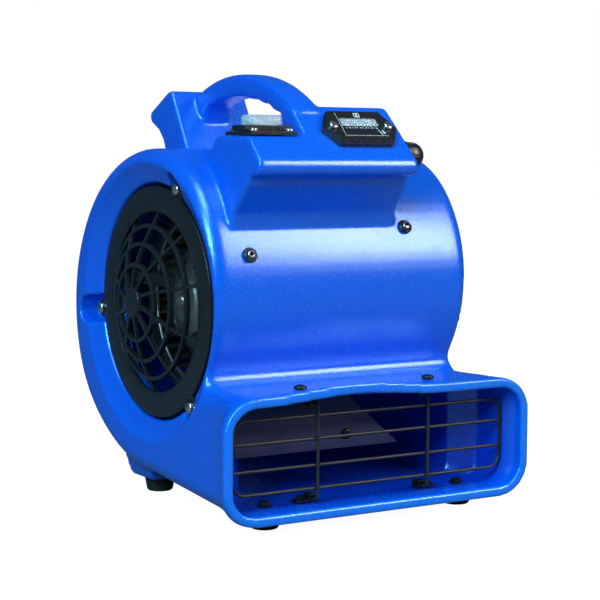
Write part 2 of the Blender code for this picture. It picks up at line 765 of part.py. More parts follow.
def floor_z(y):
    """The duct's inner floor near the mouth."""
    near = max(0.0, 1.0 - (y - MOUTH_Y) / 26.0)
    return bottom_z(y) + WALL + 1.5 * near


def wire_path(points, normal):
    return [(point, normal) for point in points]


def make_guard():
    """The outlet guard: a rounded wire frame with two cross wires, and two uprights in front."""
    section = ngon(WIRE_R, 6)
    z0, z1 = GUARD_Z[0], GUARD_Z[-1]
    bend = 9.0
    frame = []
    corners = ((GUARD_HALF, z1, 0), (-GUARD_HALF, z1, 90), (-GUARD_HALF, z0, 180), (GUARD_HALF, z0, 270))
    for x, z, start in corners:
        cx = x - math.copysign(bend, x)
        cz = z - bend if z == z1 else z + bend
        for k in range(4):
            turn = math.radians(start + 30 * k)
            frame.append((cx + bend * math.cos(turn), GUARD_Y, cz + bend * math.sin(turn)))
    guard = swept("outlet_guard", wire_path(frame, (0.0, 1.0, 0.0)), section, "wire", closed=True)
    parts = []
    for z in GUARD_Z[1:3]:
        ends = [(-GUARD_HALF, GUARD_Y, z), (GUARD_HALF, GUARD_Y, z)]
        parts.append(swept("cross_wire", wire_path(ends, (0.0, 1.0, 0.0)), section, "wire"))
    front = GUARD_Y - 1.7
    for side in (-1, 1):
        bar = GUARD_BAR_X * side
        foot = floor_z(CLIP_Y) + 2.1
        head = DUCT_TOP - WALL - 2.1
        points = [
            (bar, CLIP_Y + 4, foot),
            (bar, front + 5, foot),
            (bar, front + 1.4, foot + 1.4),
            (bar, front, foot + 5),
            (bar, front, head - 5),
            (bar, front + 1.4, head - 1.4),
            (bar, front + 5, head),
            (bar, CLIP_Y + 4, head),
        ]
        parts.append(swept("upright", wire_path(points, (1.0, 0.0, 0.0)), section, "wire"))
    return unite(guard, *parts)


def make_guard_clips():
    """Saddle clips over the guard's wire ends, screwed to the duct's floor and roof."""
    for level, base, up in (("bottom", floor_z(CLIP_Y) + 0.9, 1), ("top", DUCT_TOP - WALL - 2 * GAP, -1)):
        for label, side in (("left", -1), ("right", 1)):
            inner, outer = GUARD_BAR_X - 3.2, CLIP_X + 5.0
            profile = [
                (outer, 0.0),
                (outer, 1.2),
                (GUARD_BAR_X + 3.0, 1.2),
                (GUARD_BAR_X + 2.2, 4.9),
                (GUARD_BAR_X - 2.2, 4.9),
                (inner, 1.2),
                (inner, 0.0),
                (GUARD_BAR_X - 2.0, 0.0),
                (GUARD_BAR_X - 1.5, 3.6),
                (GUARD_BAR_X + 1.5, 3.6),
                (GUARD_BAR_X + 2.0, 0.0),
            ]
            loops = []
            for y in (CLIP_Y - 4.0, CLIP_Y + 3.0):
                loops.append([(side * x, y, base + up * z) for x, z in profile])
            clip = stack(f"guard_clip_{level}_{label}", loops, "zinc")
            x = side * CLIP_X
            ends = ((x, CLIP_Y, base - 3), (x, CLIP_Y, base + 3))
            cut(clip, rod("clip_bore", 2.25, *ends, "zinc", 12))
            if level == "top":
                place = (x, CLIP_Y, DUCT_TOP + 2 * GAP)
                pan_screw(f"guard_screw_{level}_{label}", place, (0, 0, 1), 4.2, 2.4, 1.8, 9.5, "black")
            else:
                place = (x, CLIP_Y, base + 1.2 + GAP)
                pan_screw(f"guard_screw_{level}_{label}", place, (0, 0, 1), 3.3, 2.2, 1.8, 1.7, "black")


def make_deflector():
    """A thin plate hung inside the mouth, behind the guard, cut off aslant at its right end."""
    y0, y1, top, low = -100.0, -104.0, DUCT_TOP - WALL - 1.2, 44.5
    middle = 0.5 * (y0 + y1)
    corners = ((-93.5, y1, low), (31.0, y1, low), (-8.0, y0, top), (-82.0, y0, top), (-93.5, middle, 62.2))
    loops = [[(x, y + t, z) for x, y, z in corners] for t in (0.0, 1.3)]
    plate = stack("air_deflector", loops, "grey")
    slope = (y0 - y1) / (top - low)
    x, z = -9.5, 53.4
    y = y1 + slope * (z - low)
    cut(plate, rod("plate_hole", 2.0, (x, y - 4, z), (x, y + 6, z), "grey", 10))
    pan_screw("deflector_screw", (x, y - 0.7, z), (0, -1, 0), 3.4, 1.8, 1.5, 5.5, "black")
    ends = [(y1 + slope * (h - low), h) for h in (47.0, top)]
    behind = 1.3 + 2 * GAP
    outline = [(ends[0][0] + behind, ends[0][1]), (ends[0][0] + behind + 1.6, ends[0][1])]
    outline += [(ends[1][0] + behind + 1.6, ends[1][1]), (ends[1][0] + behind, ends[1][1])]
    strap = prism_x("deflector_strap", outline, x - 5.0, x + 5.0, "zinc")
    cut(strap, rod("strap_hole", 1.9, (x, y - 4, z), (x, y + 8, z), "zinc", 10))


# ---------------------------------------------------------------- feet
def make_feet():
    """Four tapered rubber feet, each held by a bolt from inside the housing."""
    for row, y, top in (("front", FOOT_FRONT_Y, FOOT_FRONT_TOP), ("rear", FOOT_REAR_Y, FOOT_REAR_TOP)):
        for label, side in (("left", -1), ("right", 1)):
            x = side * FOOT_X
            profile = ((0, 0), (8.0, 0), (8.8, 0.8), (10.6, top), (2.2, top), (2.2, 2.5), (0, 2.5))
            turned(f"foot_{row}_{label}", profile, (x, y, 0), (0, 0, 1), "rubber", 18)
            base = floor_z(y) + 0.75 if row == "front" else 26.5 + GAP
            name = f"foot_bolt_{row}_{label}"
            pan_screw(name, (x, y, base), (0, 0, 1), 4.4, 2.8, 1.8, base - 3.0, "black")


# ---------------------------------------------------------------- switch, meter, gland
def make_switch():
    """The rocker switch on the control box's low shelf, with its plate, frame and clear boot."""
    x, y, z = SWITCH_X, SWITCH_Y, NOTCH_Z + GAP
    plate = block("switch_plate", (x - 17, y - 16, z), (x + 17, y + 16, z + 2.4), "black")
    cut(plate, block("plate_hole", (x - 12.9, y - 6.9, z - 2), (x + 12.9, y + 6.9, z + 5), "black"))
    bores = []
    for k, (a, b) in enumerate(((-1, -1), (1, -1), (1, 1), (-1, 1))):
        px, py = x + 13.2 * a, y + 12.0 * b
        bores.append(rod("plate_bore", 1.6, (px, py, z - 2), (px, py, z + 5), "black", 10))
        place = (px, py, z + 2.4 + GAP)
        pan_screw(f"switch_screw_{k + 1}", place, (0, 0, 1), 2.8, 1.9, 1.2, 2.4)
    cut(plate, *bores)
    body_low, body_high = z - 18.0, z + 2.4 + GAP
    body = block("switch_body", (x - 12.5, y - 6.5, body_low), (x + 12.5, y + 6.5, body_high + 2.0), "black")
    frame = ((x - 17, y - 8.0, body_high), (x + 17, y + 8.0, body_high + FRAME_HIGH))
    unite(body, block("switch_frame", *frame, "black"))
    room = ((x - 10.8, y - 5.0, body_high - 2.5), (x + 10.8, y + 5.0, body_high + 9))
    cut(body, block("rocker_room", *room, "black"))
    pivot_z = body_high + 2.4
    level = [(-9.4, 4.2), (0.0, 2.4), (9.4, 4.2), (9.2, 1.2), (3.0, -3.6), (-3.0, -3.6), (-9.2, 1.2)]
    c, s = math.cos(math.radians(ROCKER_TILT)), math.sin(math.radians(ROCKER_TILT))
    outline = [(a * c + b * s, b * c - a * s) for a, b in level]
    loops = [[(x + a, y + side * 4.5, pivot_z + b) for a, b in outline] for side in (-1, 1)]
    rocker = stack("switch_rocker", loops, "white")
    pivot = empty("rocker_pivot", (x, y, pivot_z))
    hang_on(pivot, rocker)
    base = body_high + FRAME_HIGH + GAP
    top = base + BOOT_HIGH
    boot = block("switch_boot", (x - 12.3, y - 6.0, base), (x + 12.3, y + 6.0, top), "clear")
    cut(boot, block("boot_room", (x - 11.4, y - 5.1, base - 1), (x + 11.4, y + 5.1, top - 0.9), "clear"))


def slope_frame():
    """Middle of the control box's sloped face, the way down it, and the way out of it."""
    down = normalised((0.0, SLOPE_LOW[0] - SLOPE_TOP[0], SLOPE_LOW[1] - SLOPE_TOP[1]))
    out = cross(down, (1.0, 0.0, 0.0))
    return SLOPE_TOP, down, out


def meter_point(u, v, w):
    """A point on the sloped face: u to the right, v down from its middle line, w out of it."""
    top, down, out = slope_frame()
    return (
        METER_X + u,
        top[0] + down[1] * (METER_DOWN + v) + out[1] * w,
        top[1] + down[2] * (METER_DOWN + v) + out[2] * w,
    )


def hexagon(half_top, half_high, reach):
    """A six-sided outline that comes to a point on its left and right."""
    return [
        (-half_top, -half_high),
        (half_top, -half_high),
        (reach, 0.8),
        (half_top, half_high),
        (-half_top, half_high),
        (-reach, 0.8),
    ]


def meter_prism(name, outline, w0, w1, finish):
    return stack(name, [[meter_point(u, v, w) for u, v in outline] for w in (w0, w1)], finish)


def make_meter():
    """The hour meter: a six-sided body let into the sloped face, its bezel, window and two screws."""
    back = meter_prism("hour_meter_body", hexagon(17.0, 12.0, 18.0), -11.0, 1.0, "black")
    bezel = meter_prism("meter_bezel", hexagon(20.3, 14.3, 28.8), GAP, METER_PROUD, "black")
    unite(back, bezel)
    window = [(-14.0, -6.5), (14.0, -6.5), (14.0, 0.0), (-14.0, 0.0)]
    seat = [(-14.4, -6.9), (14.4, -6.9), (14.4, 0.4), (-14.4, 0.4)]
    cut(back, meter_prism("window_seat", seat, METER_PROUD - 1.4, METER_PROUD + 3, "black"))
    meter_prism("hour_meter_window", window, METER_PROUD - 1.05, METER_PROUD + 0.1, "clear")
    outward = slope_frame()[2]
    for label, u in (("left", -21.2), ("right", 21.2)):
        ends = (meter_point(u, 0, -2), meter_point(u, 0, 8))
        cut(back, rod("meter_bore", 1.9, *ends, "black", 10))
        place = meter_point(u, 0, METER_PROUD + GAP)
        pan_screw(f"meter_screw_{label}", place, outward, 3.3, 2.0, 1.5, METER_PROUD - 0.1)


def make_gland():
    """The cord gland on the control box's right side: body, dome nut and inside lock nut."""
    centre = (BOX_RIGHT - BOX_DRAFT * (GLAND_Z - 10 - BOX_DRAFT_Z) + GAP, GLAND_Y, GLAND_Z)
    body = ((3.6, -9.8), (6.0, -9.8), (6.0, 0.0), (9.6, 0.0), (9.6, 3.6), (5.8, 3.6), (5.8, 11.0), (3.6, 11.0))
    turned("cord_gland_body", body, centre, (1, 0, 0), "black", 18)
    nut = ((6.2, 4.0), (9.0, 4.0), (9.0, 8.5), (8.0, 12.5), (5.8, 15.2), (4.2, 15.2), (4.2, 11.6), (6.2, 11.6))
    turned("cord_gland_nut", nut, centre, (1, 0, 0), "black", 18)
    lock = ((6.8, -9.0), (8.4, -9.0), (8.4, -5.6), (6.8, -5.6))
    turned("cord_gland_locknut", lock, centre, (1, 0, 0), "black", 12)


def main():
    clear_scene()
    make_housing()
    for side, label in ((-1, "left"), (1, "right")):
        make_grille(side, label)
        make_grille_screws(side, label)
    make_rotor()
    make_motor()
    make_bracket()
    make_capacitor()
    make_drum_screws()
    make_guard()
    make_guard_clips()
    make_deflector()
    make_feet()
    make_switch()
    make_meter()
    make_gland()


main()
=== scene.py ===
"""The mini air mover's visual model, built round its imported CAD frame.

Shapes are worked out in millimetres in the fan's own frame (+Z up, the outlet facing -Y, the
rotor's axis at AXIS_Z) and become metres in add_mesh. Each piece takes the place of a CAD node and
rides on that node's body, with the finish of its material slot.
"""

import json
import math

import bmesh
import bpy
from mathutils import Matrix
from mathutils.bvhtree import BVHTree


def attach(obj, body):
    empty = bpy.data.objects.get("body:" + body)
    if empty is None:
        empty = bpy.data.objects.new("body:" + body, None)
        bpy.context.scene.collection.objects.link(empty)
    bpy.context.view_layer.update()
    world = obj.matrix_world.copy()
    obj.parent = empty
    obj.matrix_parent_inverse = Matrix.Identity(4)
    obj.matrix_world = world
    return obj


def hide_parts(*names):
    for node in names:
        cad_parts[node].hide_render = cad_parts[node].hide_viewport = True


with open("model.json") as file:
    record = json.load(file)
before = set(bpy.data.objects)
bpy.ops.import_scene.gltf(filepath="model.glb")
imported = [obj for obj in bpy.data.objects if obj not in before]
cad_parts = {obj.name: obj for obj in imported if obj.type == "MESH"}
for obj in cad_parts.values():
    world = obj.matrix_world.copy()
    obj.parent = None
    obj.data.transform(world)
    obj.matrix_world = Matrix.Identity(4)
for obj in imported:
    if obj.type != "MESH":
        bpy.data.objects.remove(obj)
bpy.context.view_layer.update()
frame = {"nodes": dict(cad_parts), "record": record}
RECORD = frame["record"]
BODY_OF = {node: body for body, nodes in RECORD["behaviour"]["bodies"].items() for node in nodes}
SLOT_OF = {entry["node"]: entry["material_slot"] for entry in RECORD["subparts"]}

# ---- dimensions, millimetres
MM = 0.001
AXIS_Z = 135.0
SHIFT_Y = 7.85
GAP = 0.35

WALL = 5.0
INSIDE_SHADE_REACH = 1.2  # how far from the cut cavity's surface a point still gets the painted shade inside the duct
DRUM_HALF = 103.0
RIM_ROUND = 12.0
MOUTH_HALF = 118.0
MOUTH_Y = -134.3
MOUTH_BOTTOM = 6.3
DUCT_TOP = 86.0
FLARE_Y = -90.0
NECK_ROUND = 8.0
MOUTH_EXTRA_ROUND = 12.0
LIP_DEPTH = 26.0
LIP_ARCH = 5.0
ARCH_X = -22.0
ARCH_HALF = 72.0
VOLUTE = (83.0, 88.5, 95.5, 102.5, 102.5, 105.8, 112.0, 118.3, 121.5, 118.0, 116.5)
VOLUTE_FROM = -30.0
VOLUTE_END = 270.0
NECK_ANGLE = -26.0
VOLUTE_START = -18.0
DUCT_STEPS = (MOUTH_Y, -132.0, -129.0, -125.5, -122.0, -117.0, -112.0, -106.5, -101.0, -95.5, FLARE_Y)
BODY_STEPS = (-0.78, -0.64, -0.48, -0.33, -0.19, -0.04, 0.1, 0.23, 0.36, 0.5, 0.62, 0.75)

SEAT_X = 87.0
CAVITY_HALF = 82.0
GRILLE_FACE = 96.0
GRILLE_R = 77.6
GRILLE_OPENING = 61.3
DOME = 16.5
EAR_R = 82.2
EAR_TOP = 95.0
EAR_ANGLES = (67.3, 187.3, 307.3)
POCKET_END = (92.0, 103.0, 90.0)
SPOKES = 10
GRILLE_RINGS = (25.3, 39.1, 51.2)

BOX_LEFT = -83.0
BOX_RIGHT = 41.5
BOX_DRAFT = 0.06
BOX_DRAFT_Z = 205.0
NOTCH_WALL_X = -38.5
NOTCH_Z = 245.5
BOX_TOP_Z = 265.0
BOX_TOP_Y = -76.5
SLOPE_TOP = (-79.0, 263.9)
SLOPE_LOW = (-110.9, 231.5)
LIP_CENTRE = (-106.0, 226.5)
LIP_ROUND = 7.0
HANDLE_X = -26.2
HANDLE_HALF = 11.0
HANDLE_Y = -5.0
HANDLE_R = 130.0
HANDLE_TOP = 288.0
HANDLE_THICK = 15.5
HANDLE_FROM = 127.0
HANDLE_TO = 62.0
HANDLE_REAR_FILLET = 9.0
BLOCK_LEFT = -55.0
BLOCK_RIGHT = 5.0

FOOT_X = 75.4
FOOT_FRONT_Y = -110.0
FOOT_REAR_Y = 31.7
FOOT_FRONT_TOP = 7.2
FOOT_REAR_TOP = 9.6
FOOT_BOLT_REAR_Z = 26.5

WHEEL_R = 69.0
WHEEL_INNER_R = 55.0
WHEEL_HALF = 66.0
BLADES = 40
MOTOR_R = 36.0
MOTOR_X0 = -74.0
MOTOR_X1 = -8.0
SHAFT_R = 4.0
BRACKET_ANGLES = (-72.0, 48.0, 168.0)
BRACKET_SCREW_R = 72.5
BRACKET_X = -80.3
MOTOR_BORE = 5.0
BELL_HIGH = 20.0
BELL = (  # radius, and depth below the bell's outer end
    *((MOTOR_BORE, 0), (15.0, 0), (17.0, 2), (30.0, 6), (MOTOR_R, 12), (MOTOR_R, BELL_HIGH)),
    *((31.0, BELL_HIGH), (31.0, 12), (12.2, 10.5), (12.2, 4), (MOTOR_BORE, 4)),
)

GUARD_Y = -119.6
GUARD_HALF = 104.3
GUARD_Z = (23.8, 38.5, 55.5, 70.1)
GUARD_BAR_X = 43.0
GUARD_BEND = 9.0
WIRE_R = 1.1
CLIP_X = 50.0
CLIP_Y = -111.0

CUP_PLACES = ((22.0, -73.0), (31.8, 51.0))
METER_X = 4.0
METER_PROUD = 5.2
METER_DOWN = 21.0
METER_SCREW_U = 21.2
SWITCH_X = -61.0
SWITCH_Y = -81.0
FRAME_HIGH = 3.6
BOOT_HIGH = 6.3
ROCKER_TILT = 9.0
GLAND_Y = -90.0
GLAND_Z = 233.5

SHELL_VOXEL = 0.0013

SIDES = (("left", -1), ("right", 1))
SQUARE = ((-1, -1), (1, -1), (1, 1), (-1, 1))
UP = (0, 0, 1)
HUB = (0, 0, AXIS_Z)
SPIN_AXIS = (1, 0, 0)


# ---- vectors
def cross(a, b):
    return (a[1] * b[2] - a[2] * b[1], a[2] * b[0] - a[0] * b[2], a[0] * b[1] - a[1] * b[0])


def normalised(a):
    size = math.sqrt(sum(n * n for n in a))
    return tuple(n / size for n in a)


def moved(place, *steps):
    """The place moved along (direction, distance) steps."""
    for direction, distance in steps:
        place = tuple(p + d * distance for p, d in zip(place, direction))
    return place


def smooth_step(t):
    t = min(1.0, max(0.0, t))
    return t * t * (3 - 2 * t)


def arc(centre, radius, start, end, steps):
    turns = [math.radians(start + (end - start) * k / steps) for k in range(steps + 1)]
    return [(centre[0] + radius * math.cos(t), centre[1] + radius * math.sin(t)) for t in turns]


def polar(angle, radius):
    """The (y, z) point at an angle about the rotor's axis: 0 is forwards, 90 is up."""
    turn = math.radians(angle)
    return (-radius * math.cos(turn), AXIS_Z + radius * math.sin(turn))


def ngon(radius, sides):
    turns = [2 * math.pi * (k + 0.5) / sides for k in range(sides)]
    return [(radius * math.cos(t), radius * math.sin(t)) for t in turns]


def corners_rounded(middle, reach, radius, steps):
    """A rectangle's four corner arcs, whose centres are a reach from its middle."""
    outline = []
    for a, b, start in ((1, 1, 0.0), (-1, 1, 90.0), (-1, -1, 180.0), (1, -1, 270.0)):
        centre = (middle[0] + a * reach[0], middle[1] + b * reach[1])
        outline += arc(centre, radius, start, start + 90.0, steps)
    return outline


def rounded_profile(profile, radius, steps=3):
    """Rounds the corners of a closed (radius, height) profile, leaving points on the axis alone."""
    out = []
    for k, point in enumerate(profile):
        beside = (profile[k - 1], profile[(k + 1) % len(profile)])
        ways = [(other[0] - point[0], other[1] - point[1]) for other in beside]
        reaches = [math.hypot(*way) for way in ways]
        if point[0] == 0 or min(reaches) < 1e-6:
            out.append(point)
            continue
        near = min(radius, 0.45 * min(reaches))
        start, end = ([p + w * near / reach for p, w in zip(point, way)] for way, reach in zip(ways, reaches))
        for i in range(steps + 1):
            t = i / steps
            a, b, c = (1 - t) ** 2, 2 * t * (1 - t), t * t
            out.append(tuple(a * s + b * p + c * e for s, p, e in zip(start, point, end)))
    return out


SLOPE_DOWN = normalised((0.0, SLOPE_LOW[0] - SLOPE_TOP[0], SLOPE_LOW[1] - SLOPE_TOP[1]))
SLOPE_OUT = cross(SLOPE_DOWN, (1.0, 0.0, 0.0))


# ---- meshes
def linked(name, data):
    """A new object in the scene with this data."""
    obj = bpy.data.objects.new(name, data)
    bpy.context.scene.collection.objects.link(obj)
    return obj


def shaded(mesh, sharp=40):
    """Smooth shading, with edges over an angle left sharp."""
    mesh.shade_smooth()
    mesh.set_sharp_from_angle(angle=math.radians(sharp))


def add_mesh(name, points, faces):
    """An object from points in the fan's frame (millimetres), with its faces turned outwards."""
    mesh = bpy.data.meshes.new(name)
    mesh.from_pydata([(x * MM, (y + SHIFT_Y) * MM, z * MM) for x, y, z in points], [], faces)
    work = bmesh.new()
    work.from_mesh(mesh)
    bmesh.ops.remove_doubles(work, verts=work.verts, dist=1e-6)
    bmesh.ops.recalc_face_normals(work, faces=work.faces)
    if work.calc_volume(signed=True) < 0:
        bmesh.ops.reverse_faces(work, faces=work.faces)
    work.to_mesh(mesh)
    work.free()
    shaded(mesh)
    return linked(name, mesh)


def strip(count, a, b):
    """The faces between two loops of count points that start at points a and b."""
    return [(a + i, a + (i + 1) % count, b + (i + 1) % count, b + i) for i in range(count)]


def stack(name, loops, ring=False):
    """A solid through loops of equal length, with both ends capped or else joined into a ring."""
    count = len(loops[0])
    points = [point for loop in loops for point in loop]
    starts = range(0, len(points), count)
    faces = []
    for a, b in zip(starts, starts[1:]):
        faces += strip(count, a, b)
    if ring:
        faces += strip(count, starts[-1], 0)
    else:
        faces += [tuple(range(count)), tuple(range(starts[-1], len(points)))]
    return add_mesh(name, points, faces)


def prism_x(name, outline, x0, x1):
    return stack(name, [[(x, y, z) for y, z in outline] for x in (x0, x1)])


def block(name, low, high):
    outline = [(low[1], low[2]), (high[1], low[2]), (high[1], high[2]), (low[1], high[2])]
    return prism_x(name, outline, low[0], high[0])


def turned(name, profile, centre, axis, segments=48):
    """Turns a closed profile of (radius, height) round an axis, given as a unit vector."""
    side = (0.0, 0.0, 1.0) if abs(axis[2]) < 0.9 else (1.0, 0.0, 0.0)
    u = normalised(cross(side, axis))
    v = cross(axis, u)
    turns = [2 * math.pi * k / segments for k in range(segments)]
    points = []
    for radius, height in profile:
        for t in turns:
            points.append(moved(centre, (axis, height), (u, radius * math.cos(t)), (v, radius * math.sin(t))))
    faces = []
    for r, point in enumerate(profile):
        following = (r + 1) % len(profile)
        if point[0] or profile[following][0]:
            faces += strip(segments, r * segments, following * segments)
    return add_mesh(name, points, faces)


def rod(name, radius, start, end, segments=24):
    along = tuple(e - s for s, e in zip(start, end))
    length = math.sqrt(sum(n * n for n in along))
    profile = ((0, 0), (radius, 0), (radius, length), (0, length))
    return turned(name, profile, start, normalised(along), segments)


def swept(name, path, normal, section, closed=False):
    """Sweeps a section of (across, up) pairs along a path; up stays near the given normal."""
    loops = []
    count = len(path)
    for k, point in enumerate(path):
        before = path[(k - 1) % count] if closed or k else point
        after = path[(k + 1) % count] if closed or k < count - 1 else point
        along = normalised(tuple(b - a for a, b in zip(before, after)))
        across = normalised(cross(along, normal))
        up = cross(across, along)
        loops.append([moved(point, (across, a), (up, b)) for a, b in section])
    return stack(name, loops, closed)


def joined(name, objects):
    """Several separate solids as one object."""
    work = bmesh.new()
    for obj in objects:
        work.from_mesh(obj.data)
    mesh = bpy.data.meshes.new(name)
    work.to_mesh(mesh)
    work.free()
    for obj in objects:
        bpy.data.objects.remove(obj, do_unlink=True)
    return linked(name, mesh)


def baked(obj):
    """Applies the object's modifiers to its mesh."""
    graph = bpy.context.evaluated_depsgraph_get()
    mesh = bpy.data.meshes.new_from_object(obj.evaluated_get(graph))
    obj.modifiers.clear()
    obj.data = mesh
    return obj


def fused(target, joins=(), cuts=()):
    """The target with other solids joined to it and cut from it, as one plain mesh."""
    groups = []
    for operands, operation in ((joins, "UNION"), (cuts, "DIFFERENCE")):
        if not operands:
            continue
        group = bpy.data.collections.new(operation.lower())
        for operand in operands:
            group.objects.link(operand)
        groups.append(group)
        modifier = target.modifiers.new(operation.lower(), "BOOLEAN")
        modifier.operation = operation
        modifier.solver = "EXACT"
        modifier.operand_type = "COLLECTION"
        modifier.collection = group
    baked(target)
    for operand in (*joins, *cuts):
        bpy.data.objects.remove(operand, do_unlink=True)
    for group in groups:
        bpy.data.collections.remove(group)
    shaded(target.data)
    return target


def edges_eased(obj, width, segments=2, angle=35):
    """Rounds the object's sharp edges by a width in millimetres."""
    bevel = obj.modifiers.new("eased", "BEVEL")
    bevel.width = width * MM
    bevel.segments = segments
    bevel.limit_method = "ANGLE"
    bevel.angle_limit = math.radians(angle)
    bevel.harden_normals = True
    return obj


# ---- finishes
MIX_A, MIX_B, MIX_RESULT = 6, 7, 2  # the Mix node's colour sockets
WHITE = (1.0, 1.0, 1.0, 1.0)
PALE_EDGE_Y = (-0.1258, -0.1235)  # metres; the mouth's front edge is palest at the first and ends at the second
INSIDE_SHADE_Y = (-0.1245, -0.106)  # metres; the painted shade inside the duct deepens from the first to the second


def feed(tree, node, inputs):
    """Sets a node's inputs, by name or number, each to a value or to another node's output."""
    for name, value in inputs.items():
        if isinstance(value, bpy.types.NodeSocket):
            tree.links.new(value, node.inputs[name])
        else:
            node.inputs[name].default_value = value


def new_node(tree, kind, inputs):
    node = tree.nodes.new("ShaderNode" + kind)
    feed(tree, node, inputs)
    return node


def noise(tree, scale, detail=2.0, stretch=(1.0, 1.0, 1.0)):
    """A noise texture in object space; scale counts its features per metre."""
    place = new_node(tree, "TexCoord", {}).outputs["Object"]
    mapped = new_node(tree, "Mapping", {"Vector": place, "Scale": stretch}).outputs["Vector"]
    return new_node(tree, "TexNoise", {"Vector": mapped, "Scale": scale, "Detail": detail}).outputs["Fac"]


def product(tree, first, second):
    node = new_node(tree, "Math", {0: first, 1: second})
    node.operation = "MULTIPLY"
    return node.outputs["Value"]


def ranged(tree, value, low, high, start=0.3, end=0.7):
    """Maps the value's range from start to end onto low to high."""
    inputs = {"Value": value, "From Min": start, "From Max": end, "To Min": low, "To Max": high}
    return new_node(tree, "MapRange", inputs).outputs["Result"]


def blended(tree, factor, first, second):
    """A colour between two; each is a colour or a node's output."""
    node = tree.nodes.new("ShaderNodeMix")
    node.data_type = "RGBA"
    a, b = ((*colour, 1.0) if isinstance(colour, tuple) else colour for colour in (first, second))
    feed(tree, node, {"Factor": factor, MIX_A: a, MIX_B: b})
    return node.outputs[MIX_RESULT]


def bumped(tree, layers):
    """The normal under stacked bumps; each layer is (noise settings, strength, depth in metres)."""
    below = {}
    for grain, strength, depth in layers:
        height = noise(tree, *grain)
        bump = new_node(tree, "Bump", {"Strength": strength, "Distance": depth, "Height": height, **below})
        below = {"Normal": bump.outputs["Normal"]}
    return below["Normal"]


def surface(name, colour, rough, metal=0.0, tones=None, sheen=None, bumps=(), more=None):
    """A material whose colour, roughness and normal vary with noises of (scale, detail, stretch).

    tones is (noise settings, first colour, second colour), sheen is (noise settings, lowest and
    highest roughness), bumps is as in bumped, and more sets further inputs of the shader.
    """
    made = bpy.data.materials.new(name)
    made.use_nodes = True
    tree = made.node_tree
    shader = tree.nodes["Principled BSDF"]
    feed(tree, shader, {"Base Color": (*colour, 1.0), "Roughness": rough, "Metallic": metal, **(more or {})})
    if tones:
        grain, first, second = tones
        feed(tree, shader, {"Base Color": blended(tree, noise(tree, *grain), first, second)})
    if sheen:
        grain, low, high = sheen
        feed(tree, shader, {"Roughness": ranged(tree, noise(tree, *grain), low, high)})
    if bumps:
        feed(tree, shader, {"Normal": bumped(tree, bumps)})
    return made


def housing_plastic():
    """Glossy rotomoulded plastic: orange peel, faint mottling, paler at the mouth's front edge, with painted
    shade inside the duct.
    """
    more = {"Specular IOR Level": 0.95, "IOR": 1.72, "Specular Tint": (0.44, 0.7, 1.0, 1.0)}
    peel = (((35.0, 1.0), 0.05, 0.001), ((1250.0, 1.5), 0.9, 0.00012))
    sheen = ((1000.0,), 0.17, 0.33)
    made = surface("housing_plastic", (0.0, 0.107, 0.69), 0.26, sheen=sheen, bumps=peel, more=more)
    tree = made.node_tree
    mottled = blended(tree, noise(tree, 12.0), (0.0, 0.102, 0.64), (0.0, 0.116, 0.7))
    place = new_node(tree, "TexCoord", {}).outputs["Object"]
    y = new_node(tree, "SeparateXYZ", {"Vector": place}).outputs["Y"]
    # the colour is paler at the mouth's front edge
    pale = blended(tree, ranged(tree, y, 0.55, 0.0, *PALE_EDGE_Y), mottled, (0.0, 0.22, 0.88))
    # painted shade: the duct's inner faces, marked in make_shell, are painted darker towards the back
    inside_shade = new_node(tree, "Attribute", {})
    inside_shade.attribute_name = "inside_shade"
    deep = product(tree, inside_shade.outputs["Fac"], ranged(tree, y, 0.0, 1.0, *INSIDE_SHADE_Y))
    inside_shaded = blended(tree, deep, pale, (0.0, 0.04, 0.5))
    feed(tree, tree.nodes["Principled BSDF"], {"Base Color": inside_shaded})
    return made


def black_plastic():
    """Satin black moulded plastic with a fine spark-eroded grain."""
    tones = ((60.0,), (0.0105, 0.009, 0.0098), (0.0165, 0.0145, 0.0155))
    grain = (((2200.0,), 0.35, 0.00008),)
    more = {"Specular Tint": (1.0, 0.93, 0.97, 1.0), "Specular IOR Level": 0.5}
    sheen = ((400.0,), 0.22, 0.36)
    return surface("black_plastic", (0.013, 0.011, 0.012), 0.3, 0.0, tones, sheen, grain, more)


def rubber():
    dust = ((180.0, 4.0), (0.008, 0.008, 0.008), (0.026, 0.026, 0.025))
    grain = (((1600.0,), 0.5, 0.0001),)
    return surface("rubber", (0.01, 0.01, 0.01), 0.75, 0.0, dust, ((300.0,), 0.62, 0.85), grain)


def metal(name, colour, rough, metallic, grain, stretch=(1.0, 1.0, 1.0), bump=0.2):
    """A metal or painted metal whose roughness, tone and surface vary with a grain."""
    tones = ((grain * 0.3, 3.0), tuple(0.78 * c for c in colour), tuple(min(1.0, 1.12 * c) for c in colour))
    sheen = ((grain, 3.0, stretch), 0.75 * rough, 1.3 * rough)
    bumps = (((2.0 * grain, 2.0, stretch), bump, 0.00006),)
    return surface(name, colour, rough, metallic, tones, sheen, bumps)


def clear_plastic():
    """Slightly milky clear plastic."""
    waves = (((160.0,), 0.15, 0.0002),)
    more = {"Transmission Weight": 0.75, "IOR": 1.15}
    sheen = ((300.0,), 0.04, 0.12)
    return surface("clear_plastic", (0.98, 0.97, 0.96), 0.08, sheen=sheen, bumps=waves, more=more)


def white_plastic():
    tones = ((90.0, 3.0), (0.72, 0.71, 0.7), (0.82, 0.81, 0.8))
    return surface("white_plastic", (0.8, 0.79, 0.78), 0.4, tones=tones, bumps=(((1200.0,), 0.2, 0.00008),))


def print_ink():
    """Pale printing ink, with slightly uneven cover."""
    cover = ((900.0,), (0.55, 0.56, 0.57), (0.82, 0.83, 0.84))
    return surface("print_ink", (0.75, 0.76, 0.77), 0.5, tones=cover)


